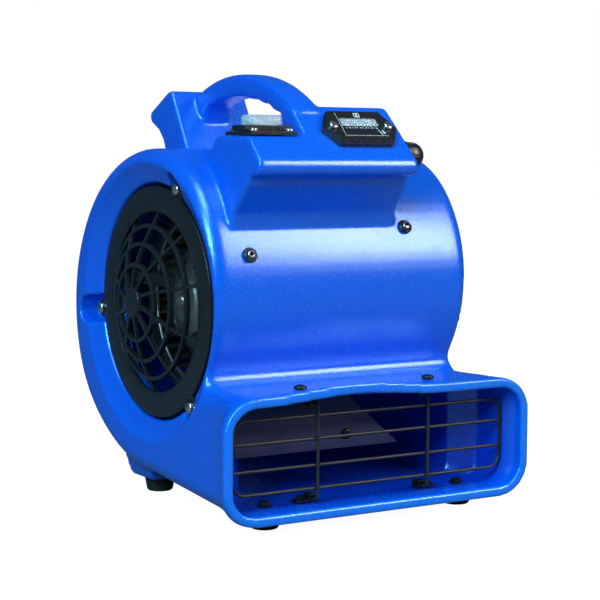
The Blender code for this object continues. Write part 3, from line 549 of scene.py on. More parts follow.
FINISH = {
    "housing_plastic": housing_plastic(),
    "black_plastic": black_plastic(),
    "rubber": rubber(),
    "bright_steel": metal("bright_steel", (0.76, 0.66, 0.58), 0.24, 1.0, 500.0),
    "blackened_steel": metal("blackened_steel", (0.035, 0.033, 0.033), 0.32, 0.75, 700.0),
    "zinc_steel": metal("zinc_steel", (0.62, 0.5, 0.43), 0.36, 1.0, 300.0, (0.1, 1.0, 1.0)),
    "black_painted_metal": metal("black_painted_metal", (0.02, 0.02, 0.021), 0.34, 0.1, 350.0),
    "guard_wire": metal("guard_wire", (0.035, 0.032, 0.033), 0.4, 0.4, 600.0, bump=0.05),
    "grey_painted_metal": metal("grey_painted_metal", (0.01, 0.016, 0.085), 0.5, 0.0, 200.0),
    "clear_plastic": clear_plastic(),
    "white_plastic": white_plastic(),
}
INK = print_ink()


def wear(obj, material):
    obj.data.materials.clear()
    obj.data.materials.append(material)


def stands_for(obj, *nodes):
    """The piece takes the place of these CAD nodes: their body, and the first one's finish."""
    wear(obj, FINISH[SLOT_OF[nodes[0]]])
    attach(obj, BODY_OF[nodes[0]])
    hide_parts(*nodes)
    return obj


def added(obj, body, material):
    """A small piece with no CAD node of its own, on a body."""
    wear(obj, material)
    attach(obj, body)
    return obj


# ---- housing
def volute_radius(angle):
    """The volute's outer radius, smoothly through the radii that VOLUTE gives every 30 degrees."""
    last = len(VOLUTE) - 1
    place = (angle - VOLUTE_FROM) / 30.0
    k = int(min(last - 1, max(0, math.floor(place))))
    t = place - k
    p0, p1, p2, p3 = (VOLUTE[min(last, max(0, k + i))] for i in (-1, 0, 1, 2))
    bend = 2 * p0 - 5 * p1 + 4 * p2 - p3
    twist = 3 * p1 - p0 - 3 * p2 + p3
    return 0.5 * (2 * p1 + (p2 - p0) * t + bend * t * t + twist * t * t * t)


def bottom_z(y):
    """The duct's flat underside, from the lowest point of the volute to the mouth."""
    low = AXIS_Z - VOLUTE[-1]
    return low + (MOUTH_BOTTOM - low) * y / MOUTH_Y


def lip_share(y, depth=LIP_DEPTH):
    """1 at the mouth's edge, falling to 0 at a depth inside it."""
    return max(0.0, 1.0 - (y - MOUTH_Y) / depth)


def floor_z(y):
    """The duct's inner floor near the mouth."""
    return bottom_z(y) + WALL + 1.5 * lip_share(y)


def outer_half(y):
    t = min(1.0, max(0.0, (FLARE_Y - y) / (FLARE_Y - MOUTH_Y - 5.0)))
    return DRUM_HALF + (MOUTH_HALF - DRUM_HALF) * t * t


def inner_half(y):
    t = smooth_step((FLARE_Y - y) / 12.0)
    return CAVITY_HALF + (outer_half(y) - WALL - 1.5 * lip_share(y, 20.0) - CAVITY_HALF) * t


def side_outline(inset):
    """The housing's side outline moved inwards by inset, from the mouth's top edge round to its bottom."""
    top = [(y, DUCT_TOP - inset) for y in DUCT_STEPS]
    centre_z = DUCT_TOP + NECK_ROUND
    reach = volute_radius(NECK_ANGLE) + NECK_ROUND
    centre_y = -math.sqrt(reach * reach - (AXIS_Z - centre_z) ** 2)
    drum_side = math.degrees(math.atan2(AXIS_Z - centre_z, -centre_y))
    neck = arc((centre_y, centre_z), NECK_ROUND + inset, -90.0, drum_side, 8)
    count = round((VOLUTE_END - VOLUTE_START) / 4.0)
    angles = [VOLUTE_START + (VOLUTE_END - VOLUTE_START) * k / count for k in range(count + 1)]
    volute = [polar(a, volute_radius(a) - inset) for a in angles]
    bottom = [(y, bottom_z(y) + inset) for y in (-45.0, *reversed(DUCT_STEPS))]
    return top + neck + volute + bottom


def arch(x):
    """How far the mouth's top lip is raised at x."""
    return LIP_ARCH * (1 - smooth_step(abs(x - ARCH_X) / ARCH_HALF))


def body_solid(name, inset, half_width, rounding, mouth_inset, beyond):
    """The drum and duct as one solid: side outlines stacked along X, with rounded long edges."""
    corner = [math.radians(11.25 * k) for k in range(9)]
    right = [(1.0 - math.sin(t), 1.0 - math.cos(t), 1) for t in corner]
    left = [(across, inwards, -side) for across, inwards, side in reversed(right)]
    loops = []
    for across, inwards, side in (*left, *((x, 0.0, 0) for x in BODY_STEPS), *right):
        outline = side_outline(inset + rounding * inwards)
        loop = []
        for k, (y, z) in enumerate(outline):
            wide = half_width(y)
            near = lip_share(y)
            extra = (MOUTH_EXTRA_ROUND - inset) * near
            x = side * (wide - (rounding + extra) * across) if side else across * wide
            lower = extra * inwards + mouth_inset * near
            if k < len(DUCT_STEPS):
                z += arch(x) * near * near - lower
            if k >= len(outline) - len(DUCT_STEPS):
                z += lower
            edge = k in (0, len(outline) - 1)
            loop.append((x, y - beyond if edge else y, z))
        loops.append(loop)
    return cap_body(name, loops, len(DUCT_STEPS))


def cap_body(name, loops, duct):
    """Closes the stack of outlines: quads across the duct's flared sides, one flat face for the drum."""
    count = len(loops[0])
    points = [point for loop in loops for point in loop]
    starts = range(0, len(points), count)
    faces = []
    for a, b in zip(starts, starts[1:]):
        faces += strip(count, a, b)[:-1]
    for start in (starts[0], starts[-1]):
        last = start + count - 1
        for i in range(duct - 1):
            faces.append((start + i, start + i + 1, last - 1 - i, last - i))
        faces.append(tuple(range(start + duct - 1, last - duct + 2)))
    faces.append((*starts, *(start + count - 1 for start in reversed(starts))))
    return add_mesh(name, points, faces)


def control_box():
    """The control box: a wedge whose rounded lip overhangs the drum, with its low shelf cut out."""
    rear = [(-30.0, 205.0), (-42.0, 226.0), (-68.0, 263.0), (-71.0, BOX_TOP_Z)]
    front = [(BOX_TOP_Y, BOX_TOP_Z), SLOPE_TOP]
    nose = arc(LIP_CENTRE, LIP_ROUND, 135.0, 235.0, 12)
    under = [(-101.5, 220.0), (-99.0, 214.5), (-84.0, 196.0), (-79.0, 178.0), (-50.0, 178.0)]
    outline = rear + front + nose + under
    sides = []
    for edge, lean in ((BOX_LEFT, BOX_DRAFT), (BOX_RIGHT, -BOX_DRAFT)):
        sides.append([(edge + lean * (z - BOX_DRAFT_Z), y, z) for y, z in outline])
    box = stack("control_box", sides)
    notch = block("notch", (BOX_LEFT - 5, -125, NOTCH_Z), (NOTCH_WALL_X, -30, 290))
    baked(edges_eased(fused(box, cuts=[notch]), 2.2, 4, 38))
    return box


def rear_block():
    """The block behind the handle: a wedge that leans back over a cord hook."""
    hook = arc((80.0, 260.5), 6.0, 38.0, -75.0, 8)
    outline = [(24.0, 226.0), (53.0, 277.0), (56.0, 278.5), (59.0, 277.5)] + hook
    outline += [(73.0, 250.5), (66.0, 243.0), (57.0, 221.0), (57.0, 210.0), (24.0, 215.0)]
    made = prism_x("rear_block", outline, BLOCK_LEFT, BLOCK_RIGHT)
    return baked(edges_eased(made, 2.2, 4, 38))


def handle_bar():
    """The carrying handle: a bar swept along an arc, with finger grips under its front half."""
    section = []
    for k in range(24):
        turn = 2 * math.pi * (k + 0.5) / 24
        c, s = math.cos(turn), math.sin(turn)
        section.append((math.copysign(abs(c) ** 0.42, c), 0.5 - 0.5 * math.copysign(abs(s) ** 0.5, s)))
    steps = 64
    loops = []
    for k in range(steps + 1):
        angle = HANDLE_FROM + (HANDLE_TO - HANDLE_FROM) * k / steps
        turn = math.radians(angle)
        phase = (119.0 - angle) / 8.125
        grip = 0.7 * (1 - math.cos(2 * math.pi * phase)) if 0.0 <= phase <= 3.0 else 0.0
        front = max(0.0, (angle - 90.0) / (HANDLE_FROM - 90.0))
        rear = smooth_step((72.0 - angle) / (72.0 - HANDLE_TO))
        deep = HANDLE_THICK - 3.0 * front + grip + HANDLE_REAR_FILLET * rear
        loop = []
        for a, b in section:
            r = HANDLE_R - b * deep
            y, z = HANDLE_Y + r * math.cos(turn), HANDLE_TOP - HANDLE_R + r * math.sin(turn)
            loop.append((HANDLE_X + HANDLE_HALF * a, y, z))
        loops.append(loop)
    return stack("handle_bar", loops)


def foot_pad(x):
    """The moulded pad over a rear foot."""
    z0, z1 = FOOT_REAR_TOP + GAP, AXIS_Z - 108.0
    loops = []
    for z, grow in ((z0, 0.0), (z0 + 3.0, 2.0), (z1, 5.0)):
        loops.append([(x + a * (13 + grow), FOOT_REAR_Y + b * (15.0 + grow), z) for a, b in SQUARE])
    return stack("foot_pad", loops)


def ear_prism(name, angle, tab, x0, x1):
    """A prism for a grille's ear at an angle. tab is (foot, half width, centre, radius, half turn)."""
    foot, half, centre, radius, spread = tab
    outline = [(foot, -half), *arc((centre, 0.0), radius, -spread, spread, 10), (foot, half)]
    turn = math.radians(angle)
    c, s = math.cos(turn), math.sin(turn)
    ring = [(-c * r - s * t, AXIS_Z + s * r - c * t) for r, t in outline]
    return prism_x(name, ring, *sorted((x0, x1)))


def inlet_cutters(side):
    """The inlet's bore, seat and funnel, and three pockets for the grille's ears."""
    bore = ((0, 76.0), (68.0, 76.0), (68.0, SEAT_X), (79.5, SEAT_X), (79.5, 94.4), (80.6, 95.9))
    funnel = ((84.0, 97.4), (88.0, 99.3), (92.0, 101.8), (96.2, 105.6), (98.4, 112.0), (0, 112.0))
    cutters = [turned("inlet_cut", bore + funnel, HUB, (side, 0, 0), 96)]
    for angle, end in zip(EAR_ANGLES, POCKET_END):
        tab = (70.0, 10.0, end - 8.5, 9.6, 80.0)
        cutters.append(ear_prism("pocket_cut", angle, tab, side * (SEAT_X + 0.02), side * 110.0))
    return cutters


def upright_rod(name, radius, x, y, z0, z1):
    return rod(name, radius, (x, y, z0), (x, y, z1))


def fastener_cutters():
    """Holes for the feet's bolts, the guard's screws, the switch, the meter, the gland and the motor."""
    cutters = [
        switch_block("switch_hole", 13.0, 7.0, NOTCH_Z - 12, NOTCH_Z + 2),
        meter_prism("meter_hole", hexagon(17.5, 12.5, 19.0), -14.0, 3.0),
        rod("gland_hole", 6.6, (BOX_RIGHT - 8, GLAND_Y, GLAND_Z), (BOX_RIGHT + 3, GLAND_Y, GLAND_Z)),
    ]
    for side in (-1, 1):
        x = side * FOOT_X
        cutters.append(upright_rod("hole", 2.4, x, FOOT_FRONT_Y, 2, 20))
        cutters.append(upright_rod("hole", 2.4, x, FOOT_REAR_Y, 2, 34))
        cutters.append(upright_rod("flat", 7.0, x, FOOT_REAR_Y, FOOT_BOLT_REAR_Z, 40))
        cutters.append(upright_rod("hole", 2.3, side * CLIP_X, CLIP_Y, 76, 92))
    for angle in BRACKET_ANGLES:
        place = polar(angle, BRACKET_SCREW_R)
        cutters.append(rod("hole", 2.1, (-90, *place), (-78, *place)))
    for angle, x in CUP_PLACES:
        inner, outer = (polar(angle, volute_radius(angle) + far) for far in (-9.0, 3.0))
        cutters.append(rod("hole", 2.4, (x, *inner), (x, *outer)))
    return cutters


def surface_tree(obj):
    """A search tree of the object's faces, to tell which points lie on them."""
    mesh = obj.data
    return BVHTree.FromPolygons([v.co for v in mesh.vertices], [p.vertices for p in mesh.polygons])


def box_hollows():
    """The room inside the control box, in two parts: under its full height and under its low shelf."""
    outline = [(-50.0, 150.0), (-50.0, 222.0), (-73.0, 256.0), (-77.5, 259.0), (-107.5, 228.5)]
    outline += [(-100.0, 224.5), (-80.0, 197.0), (-72.0, 178.0), (-72.0, 150.0)]
    low_outline = [(y, min(z, NOTCH_Z - 4.0)) for y, z in outline]
    full = prism_x("box_hollow", outline, NOTCH_WALL_X + 5, BOX_RIGHT - 4.5)
    return full, prism_x("notch_hollow", low_outline, BOX_LEFT + 4.5, NOTCH_WALL_X + 6)


def make_shell():
    """The one-piece housing, with the soft edges that rotomoulding leaves."""
    shell = body_solid("shell", 0.0, outer_half, RIM_ROUND, 0.0, 0.0)
    pads = [foot_pad(x) for x in (-FOOT_X, FOOT_X)]
    fused(shell, joins=[control_box(), rear_block(), handle_bar(), *pads])
    cavity = body_solid("cavity", WALL, inner_half, 10.0, 1.5, 6.0)
    inside_shade = surface_tree(cavity)
    for cutter in (cavity, *box_hollows(), *inlet_cutters(1), *inlet_cutters(-1)):
        fused(shell, cuts=[cutter])
    fused(shell, cuts=fastener_cutters())
    remesh = shell.modifiers.new("remesh", "REMESH")
    remesh.mode = "VOXEL"
    remesh.voxel_size = SHELL_VOXEL
    remesh.use_smooth_shade = True
    soften = shell.modifiers.new("soften", "SMOOTH")
    soften.factor = 0.5
    soften.iterations = 6
    baked(shell)
    shell.data.shade_smooth()
    # mark the points on the duct's inner faces, which the housing's finish darkens as painted shade
    near = INSIDE_SHADE_REACH * MM
    found = [float(inside_shade.find_nearest(v.co, near)[0] is not None) for v in shell.data.vertices]
    shell.data.attributes.new("inside_shade", "FLOAT", "POINT").data.foreach_set("value", found)
    return stands_for(shell, "housing")


# ---- inlet grilles
def dome_x(radius):
    t = min(1.0, radius / GRILLE_OPENING)
    return GRILLE_FACE - 3.0 + (DOME + 3.0) * (1 - t * t)


def make_grille(side, label):
    """A domed grille: three rings and ten curved spokes inside a flat rim with three ears."""
    face, back = GRILLE_FACE, SEAT_X + GAP
    inner, outer, opening = GRILLE_R - 2.4, GRILLE_R, GRILLE_OPENING - 0.6
    rim = ((opening, face - 0.1), (opening, face - 2.6), (inner, face - 2.6), (inner, back), (outer, back))
    axis = (side, 0, 0)
    grille = turned(f"grille_{label}", rounded_profile((*rim, (outer, face - 0.1)), 0.7), HUB, axis, 96)
    top = dome_x(0)
    hub = ((0, -2.4), (10.4, -2.4), (10.4, 0.4), (9.2, 1.1), (6.0, 1.5), (0, 1.5))
    hub = [(radius, top + x) for radius, x in hub]
    parts = [turned("hub", rounded_profile(hub, 0.5), HUB, axis, 36)]
    for radius in GRILLE_RINGS:
        x = dome_x(radius)
        low, high = x - 2.1, x + 1.4
        band = ((radius - 1.2, low), (radius + 1.2, low), (radius + 1.4, high), (radius - 1.4, high))
        parts.append(turned("band", rounded_profile(band, 0.45, 2), HUB, axis, 72))
    section = rounded_profile(((-1.1, -1.7), (1.1, -1.7), (1.3, 1.4), (-1.3, 1.4)), 0.6, 2)
    for k in range(SPOKES):
        path = []
        for i in range(11):
            t = i / 10
            radius = 7.0 + (GRILLE_OPENING + 1.4 - 7.0) * t
            angle = 100.0 + 36.0 * k - 13.0 * t - 5.0 * math.sin(math.pi * t)
            path.append((side * (dome_x(radius) - 0.7), *polar(angle, radius)))
        parts.append(swept("spoke", path, axis, section))
    holes = []
    for angle in EAR_ANGLES:
        tab = (74.5, 7.6, EAR_R - 0.6, 5.9, 78.0)
        parts.append(ear_prism("ear", angle, tab, side * back, side * EAR_TOP))
        place = polar(angle, EAR_R)
        holes.append(rod("ear_hole", 2.3, (side * (back - 3), *place), (side * (EAR_TOP + 3), *place), 20))
    fused(grille, joins=parts, cuts=holes)
    edges_eased(grille, 0.18, 1, 50)
    return stands_for(grille, f"inlet_grille_{label}")


# ---- screws
ASKEW = (0.3, 0.2, 0.93)  # a direction that no screw points in


def screw(name, node, place, axis, head_r, head_h, shank_r, length, drive="cross", collar=False):
    """A domed screw for a CAD node; place is under its head, and the shank goes down the axis."""
    profile = [(0, -length), (shank_r, -length), (shank_r, 0), (head_r, 0)]
    if collar:
        profile += [(head_r, 0.25 * head_h), (0.72 * head_r, 0.4 * head_h), (0.72 * head_r, 0.9 * head_h)]
        profile += [(0.6 * head_r, head_h)]
    else:
        profile.append((head_r, 0.35 * head_h))
        for k in range(1, 5):
            t = math.radians(90 * k / 5)
            profile.append((head_r * math.cos(t) ** 0.7, head_h * (0.35 + 0.65 * math.sin(t))))
    made = turned(name, [*profile, (0, head_h)], place, axis, 32)
    side = normalised(cross(ASKEW, axis))
    other = cross(axis, side)
    top = moved(place, (axis, head_h))
    cutters = []
    if drive == "cross":
        for along, across in ((side, other), (other, side)):
            cutters.append(bar_between(top, along, across, axis, 0.62 * head_r, 0.13 * head_r, 0.55 * head_h))
    elif drive == "hex":
        low, high = moved(top, (axis, -2.2 * head_h)), moved(top, (axis, head_h))
        cutters.append(rod("socket", 0.56 * head_r, low, high, 6))
    if cutters:
        fused(made, cuts=cutters)
    return stands_for(made, node)


def bar_between(centre, along, across, up, length, width, depth):
    """A bar round its centre, given its three directions and half its size in each."""
    loops = []
    for s in (-1, 1):
        end = moved(centre, (along, s * length))
        loops.append([moved(end, (across, a * width), (up, b * depth)) for a, b in SQUARE])
    return stack("slot", loops)


def make_grille_screws(side, label):
    for k, angle in enumerate(EAR_ANGLES):
        place = (side * (EAR_TOP + GAP), *polar(angle, EAR_R))
        end = f"screw_{label}_{k + 1}"
        screw("inlet_" + end, "grille_" + end, place, (side, 0, 0), 4.0, 3.0, 1.8, EAR_TOP - SEAT_X)


def blacken_and_shade_socket(obj, place, axis, head_h):
    """Puts black steel on the walls and the floor of a screw's hexagon socket: partly the steel's black
    oxide, partly painted shade in the deep socket.
    """
    obj.data.materials.append(FINISH["blackened_steel"])
    for face in obj.data.polygons:
        offset = [c / MM - p for c, p in zip(face.center, (place[0], place[1] + SHIFT_Y, place[2]))]
        along = sum(o * a for o, a in zip(offset, axis))
        across = math.sqrt(max(0.0, sum(o * o for o in offset) - along * along))
        upright = abs(sum(n * a for n, a in zip(face.normal, axis))) < 0.3
        if across < 1.75 and -2.5 < along < head_h + 0.1 and (upright or along < head_h - 1.0):
            face.material_index = 1


def make_drum_screws():
    """Two socket screws with cup washers on the drum's front."""
    cup = rounded_profile(((2.6, 0.0), (5.0, 0.0), (5.0, 0.9), (4.1, 1.8), (3.1, 1.2), (2.6, 0.6)), 0.4)
    for (label, _), (angle, x) in zip(SIDES, CUP_PLACES):
        turn = math.radians(angle)
        out = (0.0, -math.cos(turn), math.sin(turn))
        seat = (x, *polar(angle, volute_radius(angle) + 0.7))
        stands_for(turned(f"cup_{label}", cup, seat, out, 48), f"cup_washer_{label}")
        place = moved(seat, (out, 1.5))
        made = screw(f"socket_screw_{label}", f"drum_screw_{label}", place, out, 2.7, 1.5, 1.9, 8.5, "hex")
        # black steel in the socket: partly black oxide, partly painted shade
        blacken_and_shade_socket(made, place, out, 1.5)


# ---- rotor and motor
def make_wheel():
    """The double-inlet wheel: pressed blades between rolled rings, on a pierced centre plate."""
    bore, rim = SHAFT_R + GAP, WHEEL_R - 1
    plate = ((bore, 1.0), (13.0, 1.0), (14.5, 5.0), (rim, 5.0), (rim, 6.6), (15.5, 6.6), (13.0, 8.0))
    hub = ((13.0, 24.0), (bore, 24.0))
    wheel = turned("wheel", rounded_profile(plate + hub, 0.7), HUB, SPIN_AXIS, 72)
    parts = []
    for x in (-WHEEL_HALF, WHEEL_HALF - 3.0):
        band = ((WHEEL_INNER_R, x), (WHEEL_R, x), (WHEEL_R, x + 3.0), (WHEEL_INNER_R, x + 3.0))
        parts.append(turned("wheel_band", rounded_profile(band, 1.2), HUB, SPIN_AXIS, 72))
    for k in range(BLADES):
        turn = 2 * math.pi * (k + 0.5) / BLADES
        inner, outer = [], []
        for i in range(6):
            radius = 56.2 + 11.4 * i / 5
            swing = turn + math.radians(15.0) * (i / 5) ** 2
            y, z = radius * math.cos(swing), radius * math.sin(swing)
            inner.append((y + 0.4 * math.sin(swing), AXIS_Z + z - 0.4 * math.cos(swing)))
            outer.append((y - 0.4 * math.sin(swing), AXIS_Z + z + 0.4 * math.cos(swing)))
        parts.append(prism_x("blade", inner + outer[::-1], 1.2 - WHEEL_HALF, WHEEL_HALF - 1.2))
    holes = []
    for k in range(6):
        place = polar(60.0 * k + 15.0, 36.0)
        holes.append(rod("plate_hole", 7.0, (3.0, *place), (9.0, *place), 24))
    fused(wheel, joins=parts, cuts=holes)
    return stands_for(wheel, "fan_wheel")


def make_motor():
    """The motor in the left inlet: slotted end bells round a laminated stator, and its mount."""
    make_stator()
    for label, outer, step in (("outer", MOTOR_X0, 1), ("inner", MOTOR_X1, -1)):
        bell = rounded_profile([(radius, outer + step * deep) for radius, deep in BELL], 0.9, 2)
        made = turned(f"bell_{label}", bell, HUB, SPIN_AXIS, 72)
        slots = []
        for k in range(8):
            path = [(outer + step * 6.0, *polar(45.0 * k + 10.0 + 4.0 * i, 25.5)) for i in range(6)]
            slots.append(swept("slot", path, SPIN_AXIS, [(2.6 * a, 8.0 * b) for a, b in SQUARE]))
        fused(made, cuts=slots)
        stands_for(made, f"motor_bell_{label}")
    start, core0, core1, end = MOTOR_X0 - 3.0, MOTOR_X0 + 23.0, MOTOR_X1 - 23.0, 27.0
    thin, core_r = SHAFT_R - 0.6, 23.0
    head = ((0, start), (thin, start), (SHAFT_R, start + 0.6), (SHAFT_R, core0), (core_r, core0))
    tail = ((core_r, core1), (SHAFT_R, core1), (SHAFT_R, end - 0.6), (thin, end), (0, end))
    stands_for(turned("rotor_shaft", head + tail, HUB, SPIN_AXIS, 48), "motor_shaft")
    make_bracket()


def make_stator():
    """The stack of laminations between the two end bells."""
    count, bore = 24, 24.0
    start, end = MOTOR_X0 + BELL_HIGH + GAP, MOTOR_X1 - BELL_HIGH - GAP
    profile = [(bore, start)]
    for k in range(count):
        for share, radius in ((0.15, MOTOR_R), (0.75, MOTOR_R), (0.95, MOTOR_R - 0.25)):
            profile.append((radius, start + (end - start) * (k + share) / count))
    profile.append((bore, end))
    stands_for(turned("stator", profile, HUB, SPIN_AXIS, 72), "motor_stator")


def make_bracket():
    """The motor's mount: a band round the outer bell, with three legs bent out to the inlet's edge."""
    x0, x1 = MOTOR_X0 + 12.5, MOTOR_X0 + 19.5
    inner, outer = MOTOR_R + GAP + 0.5, MOTOR_R + 2.9
    band = ((inner, x0), (outer, x0), (outer, x1), (inner, x1))
    bracket = turned("mount", rounded_profile(band, 0.5), HUB, SPIN_AXIS, 72)
    route = ((MOTOR_R + 1.4, x0 + 3.5), (MOTOR_R + 8, x0 + 1.0), (61.0, BRACKET_X + 0.5))
    route += ((63.0, BRACKET_X), (77.0, BRACKET_X))
    section = rounded_profile([(4.0 * a, 1.0 * b) for a, b in SQUARE], 0.6, 2)
    legs, holes = [], []
    for k, angle in enumerate(BRACKET_ANGLES):
        path = [(x, *polar(angle, radius)) for radius, x in route]
        legs.append(swept("leg", path, (-1.0, 0.0, 0.0), section))
        y, z = polar(angle, BRACKET_SCREW_R)
        holes.append(rod("leg_hole", 2.2, (-84, y, z), (-76, y, z), 20))
        place = (BRACKET_X + 1.0 + GAP, y, z)
        screw(f"mount_screw_{k + 1}", f"bracket_screw_{k + 1}", place, SPIN_AXIS, 4.0, 2.6, 1.7, 6.0)
    fused(bracket, joins=legs, cuts=holes)
    stands_for(bracket, "motor_bracket")


# ---- outlet
def make_guard():
    """The outlet guard: a rounded wire frame with two cross wires, and two uprights in front."""
    section = ngon(WIRE_R, 12)
    z0, z1 = GUARD_Z[0], GUARD_Z[-1]
    reach = (GUARD_HALF - GUARD_BEND, 0.5 * (z1 - z0) - GUARD_BEND)
    outline = corners_rounded((0.0, 0.5 * (z0 + z1)), reach, GUARD_BEND, 10)
    forwards = (0.0, 1.0, 0.0)
    guard = swept("guard", [(x, GUARD_Y, z) for x, z in outline], forwards, section, closed=True)
    parts = []
    for z in GUARD_Z[1:3]:
        ends = [(-GUARD_HALF, GUARD_Y, z), (GUARD_HALF, GUARD_Y, z)]
        parts.append(swept("cross_wire", ends, forwards, section))
    front = GUARD_Y - 1.7
    foot, head = floor_z(CLIP_Y) + 2.1, DUCT_TOP - WALL - 2.1
    low = arc((front + 4.2, foot + 4.2), 4.2, 270.0, 180.0, 8)
    high = arc((front + 4.2, head - 4.2), 4.2, 180.0, 90.0, 8)
    for bar in (-GUARD_BAR_X, GUARD_BAR_X):
        path = [(bar, y, z) for y, z in ((CLIP_Y + 4, foot), *low, *high, (CLIP_Y + 4, head))]
        parts.append(swept("upright", path, (1.0, 0.0, 0.0), section))
    fused(guard, joins=parts)
    return stands_for(guard, "outlet_guard")


def make_guard_screws():
    low, high = floor_z(CLIP_Y) + 2.1 + GAP, DUCT_TOP + 2 * GAP
    for label, side in SIDES:
        x = side * CLIP_X
        top, bottom = f"top_{label}", f"bottom_{label}"
        screw("guard_bolt_" + top, "guard_screw_" + top, (x, CLIP_Y, high), UP, 4.2, 2.4, 1.8, 9.5)
        sizes = (3.3, 2.2, 1.8, 1.7)
        screw("guard_bolt_" + bottom, "guard_screw_" + bottom, (x, CLIP_Y, low), UP, *sizes, "none", True)


def make_deflector():
    """A thin plate hung inside the mouth, cut off aslant at its right end."""
    y0, y1, top, low = -100.0, -104.0, DUCT_TOP - WALL - 1.2, 44.5
    middle = 0.5 * (y0 + y1)
    corners = ((-93.5, y1, low), (31.0, y1, low), (-8.0, y0, top), (-82.0, y0, top), (-93.5, middle, 62.2))
    plate = stack("deflector", [[(x, y + t, z) for x, y, z in corners] for t in (0.0, 1.3)])
    slope = (y0 - y1) / (top - low)
    x, z = -9.5, 53.4
    y = y1 + slope * (z - low)
    fused(plate, cuts=[rod("plate_hole", 2.0, (x, y - 4, z), (x, y + 6, z))])
    edges_eased(plate, 0.35, 2, 50)
    stands_for(plate, "air_deflector")
    screw("deflector_bolt", "deflector_screw", (x, y - 0.7, z), (0, -1, 0), 3.4, 1.8, 1.5, 5.5)


# ---- feet
def make_feet():
    """Four tapered rubber feet with a grooved tread, each held by a flanged bolt."""
    for row, y, top in (("front", FOOT_FRONT_Y, FOOT_FRONT_TOP), ("rear", FOOT_REAR_Y, FOOT_REAR_TOP)):
        tread = ((0, 0.5), (5.0, 0.5), (5.4, 0), (8.0, 0), (9.0, 1.0))
        profile = rounded_profile((*tread, (10.6, top), (2.2, top), (2.2, 2.5), (0, 2.5)), 0.5)
        base = floor_z(y) + 0.75 if row == "front" else FOOT_BOLT_REAR_Z + GAP
        for label, side in SIDES:
            x, end = side * FOOT_X, f"{row}_{label}"
            stands_for(turned("rubber_" + end, profile, (x, y, 0), UP, 48), "foot_" + end)
            sizes = (4.4, 2.8, 1.8, base - 3.0)
            screw("bolt_" + end, "foot_bolt_" + end, (x, y, base), UP, *sizes, collar=True)


# ---- switch
def switch_block(name, half_x, half_y, z0, z1):
    """A block centred on the switch."""
    low = (SWITCH_X - half_x, SWITCH_Y - half_y, z0)
    return block(name, low, (SWITCH_X + half_x, SWITCH_Y + half_y, z1))


def make_switch():
    """The rocker switch on the low shelf: plate, frame, rocker and clear boot."""
    z = NOTCH_Z + GAP
    high = z + 2.4 + GAP
    plate = switch_block("plate", 17, 16, z, z + 2.4)
    cutters = [switch_block("plate_hole", 12.9, 6.9, z - 2, z + 5)]
    for k, (a, b) in enumerate(SQUARE):
        x, y = SWITCH_X + 13.2 * a, SWITCH_Y + 12.0 * b
        cutters.append(upright_rod("plate_bore", 1.6, x, y, z - 2, z + 5))
        screw(f"plate_screw_{k + 1}", f"switch_screw_{k + 1}", (x, y, high), UP, 2.8, 1.9, 1.2, 2.4)
    fused(plate, cuts=cutters)
    edges_eased(plate, 0.45, 3)
    stands_for(plate, "switch_plate")
    body = switch_block("switch_case", 12.5, 6.5, z - 18.0, high + 2.0)
    rim = switch_block("rim", 17, 8.0, high, high + FRAME_HIGH)
    room = switch_block("room", 10.8, 5.0, high - 2.5, high + 9)
    fused(body, joins=[rim], cuts=[room])
    edges_eased(body, 0.45, 3)
    stands_for(body, "switch_body")
    make_rocker(high + 2.4)
    base = high + FRAME_HIGH + GAP
    top = base + BOOT_HIGH
    boot = soft_dome("boot", (12.3, 6.0), base, top)
    inside = soft_dome("boot_room", (11.4, 5.1), base - 1, top - 0.9)
    stands_for(fused(boot, cuts=[inside]), "switch_boot")


def soft_dome(name, half, low, high):
    """A box centred on the switch, with rounded upright and top edges."""
    ease = 1.6
    reach = (half[0] - ease, half[1] - ease)
    loops = []
    for drop, inset in ((high - low, 0.0), (ease, 0.12), (0.45 * ease, 0.35), (0.12 * ease, 0.8), (0.0, 1.5)):
        outline = corners_rounded((SWITCH_X, SWITCH_Y), reach, ease - min(inset, ease - 0.1), 4)
        loops.append([(x, y, high - drop) for x, y in outline])
    return stack(name, loops)


def make_rocker(pivot_z):
    """The rocker, hollowed along its top, with its left end up at rest."""
    top = [(-9.4 + 18.8 * k / 12, 2.4 + 1.8 * abs(-1 + k / 6) ** 1.6) for k in range(13)]
    level = top + [(9.2, 1.2), (3.0, -3.6), (-3.0, -3.6), (-9.2, 1.2)]
    c, s = math.cos(math.radians(ROCKER_TILT)), math.sin(math.radians(ROCKER_TILT))
    outline = [(SWITCH_X + (a * c + b * s), pivot_z + (b * c - a * s)) for a, b in level]
    rocker = stack("rocker", [[(x, SWITCH_Y + y, z) for x, z in outline] for y in (-4.5, 4.5)])
    baked(edges_eased(rocker, 0.5, 3))
    stands_for(rocker, "switch_rocker")


# ---- hour meter
def meter_point(u, v, w):
    """A point on the box's sloped face: u to the right, v down from the meter's middle, w out of it."""
    return moved((METER_X + u, *SLOPE_TOP), (SLOPE_DOWN, METER_DOWN + v), (SLOPE_OUT, w))


def hexagon(half_top, half_high, reach):
    """The meter's outline, whose side corners lie just below its middle."""
    upper = [(-half_top, -half_high), (half_top, -half_high), (reach, 0.8)]
    return [*upper, (half_top, half_high), (-half_top, half_high), (-reach, 0.8)]


def meter_prism(name, outline, w0, w1):
    return stack(name, [[meter_point(u, v, w) for u, v in outline] for w in (w0, w1)])


def plate_between(name, u0, v0, u1, v1, w0, w1):
    return meter_prism(name, [(u0, v0), (u1, v0), (u1, v1), (u0, v1)], w0, w1)


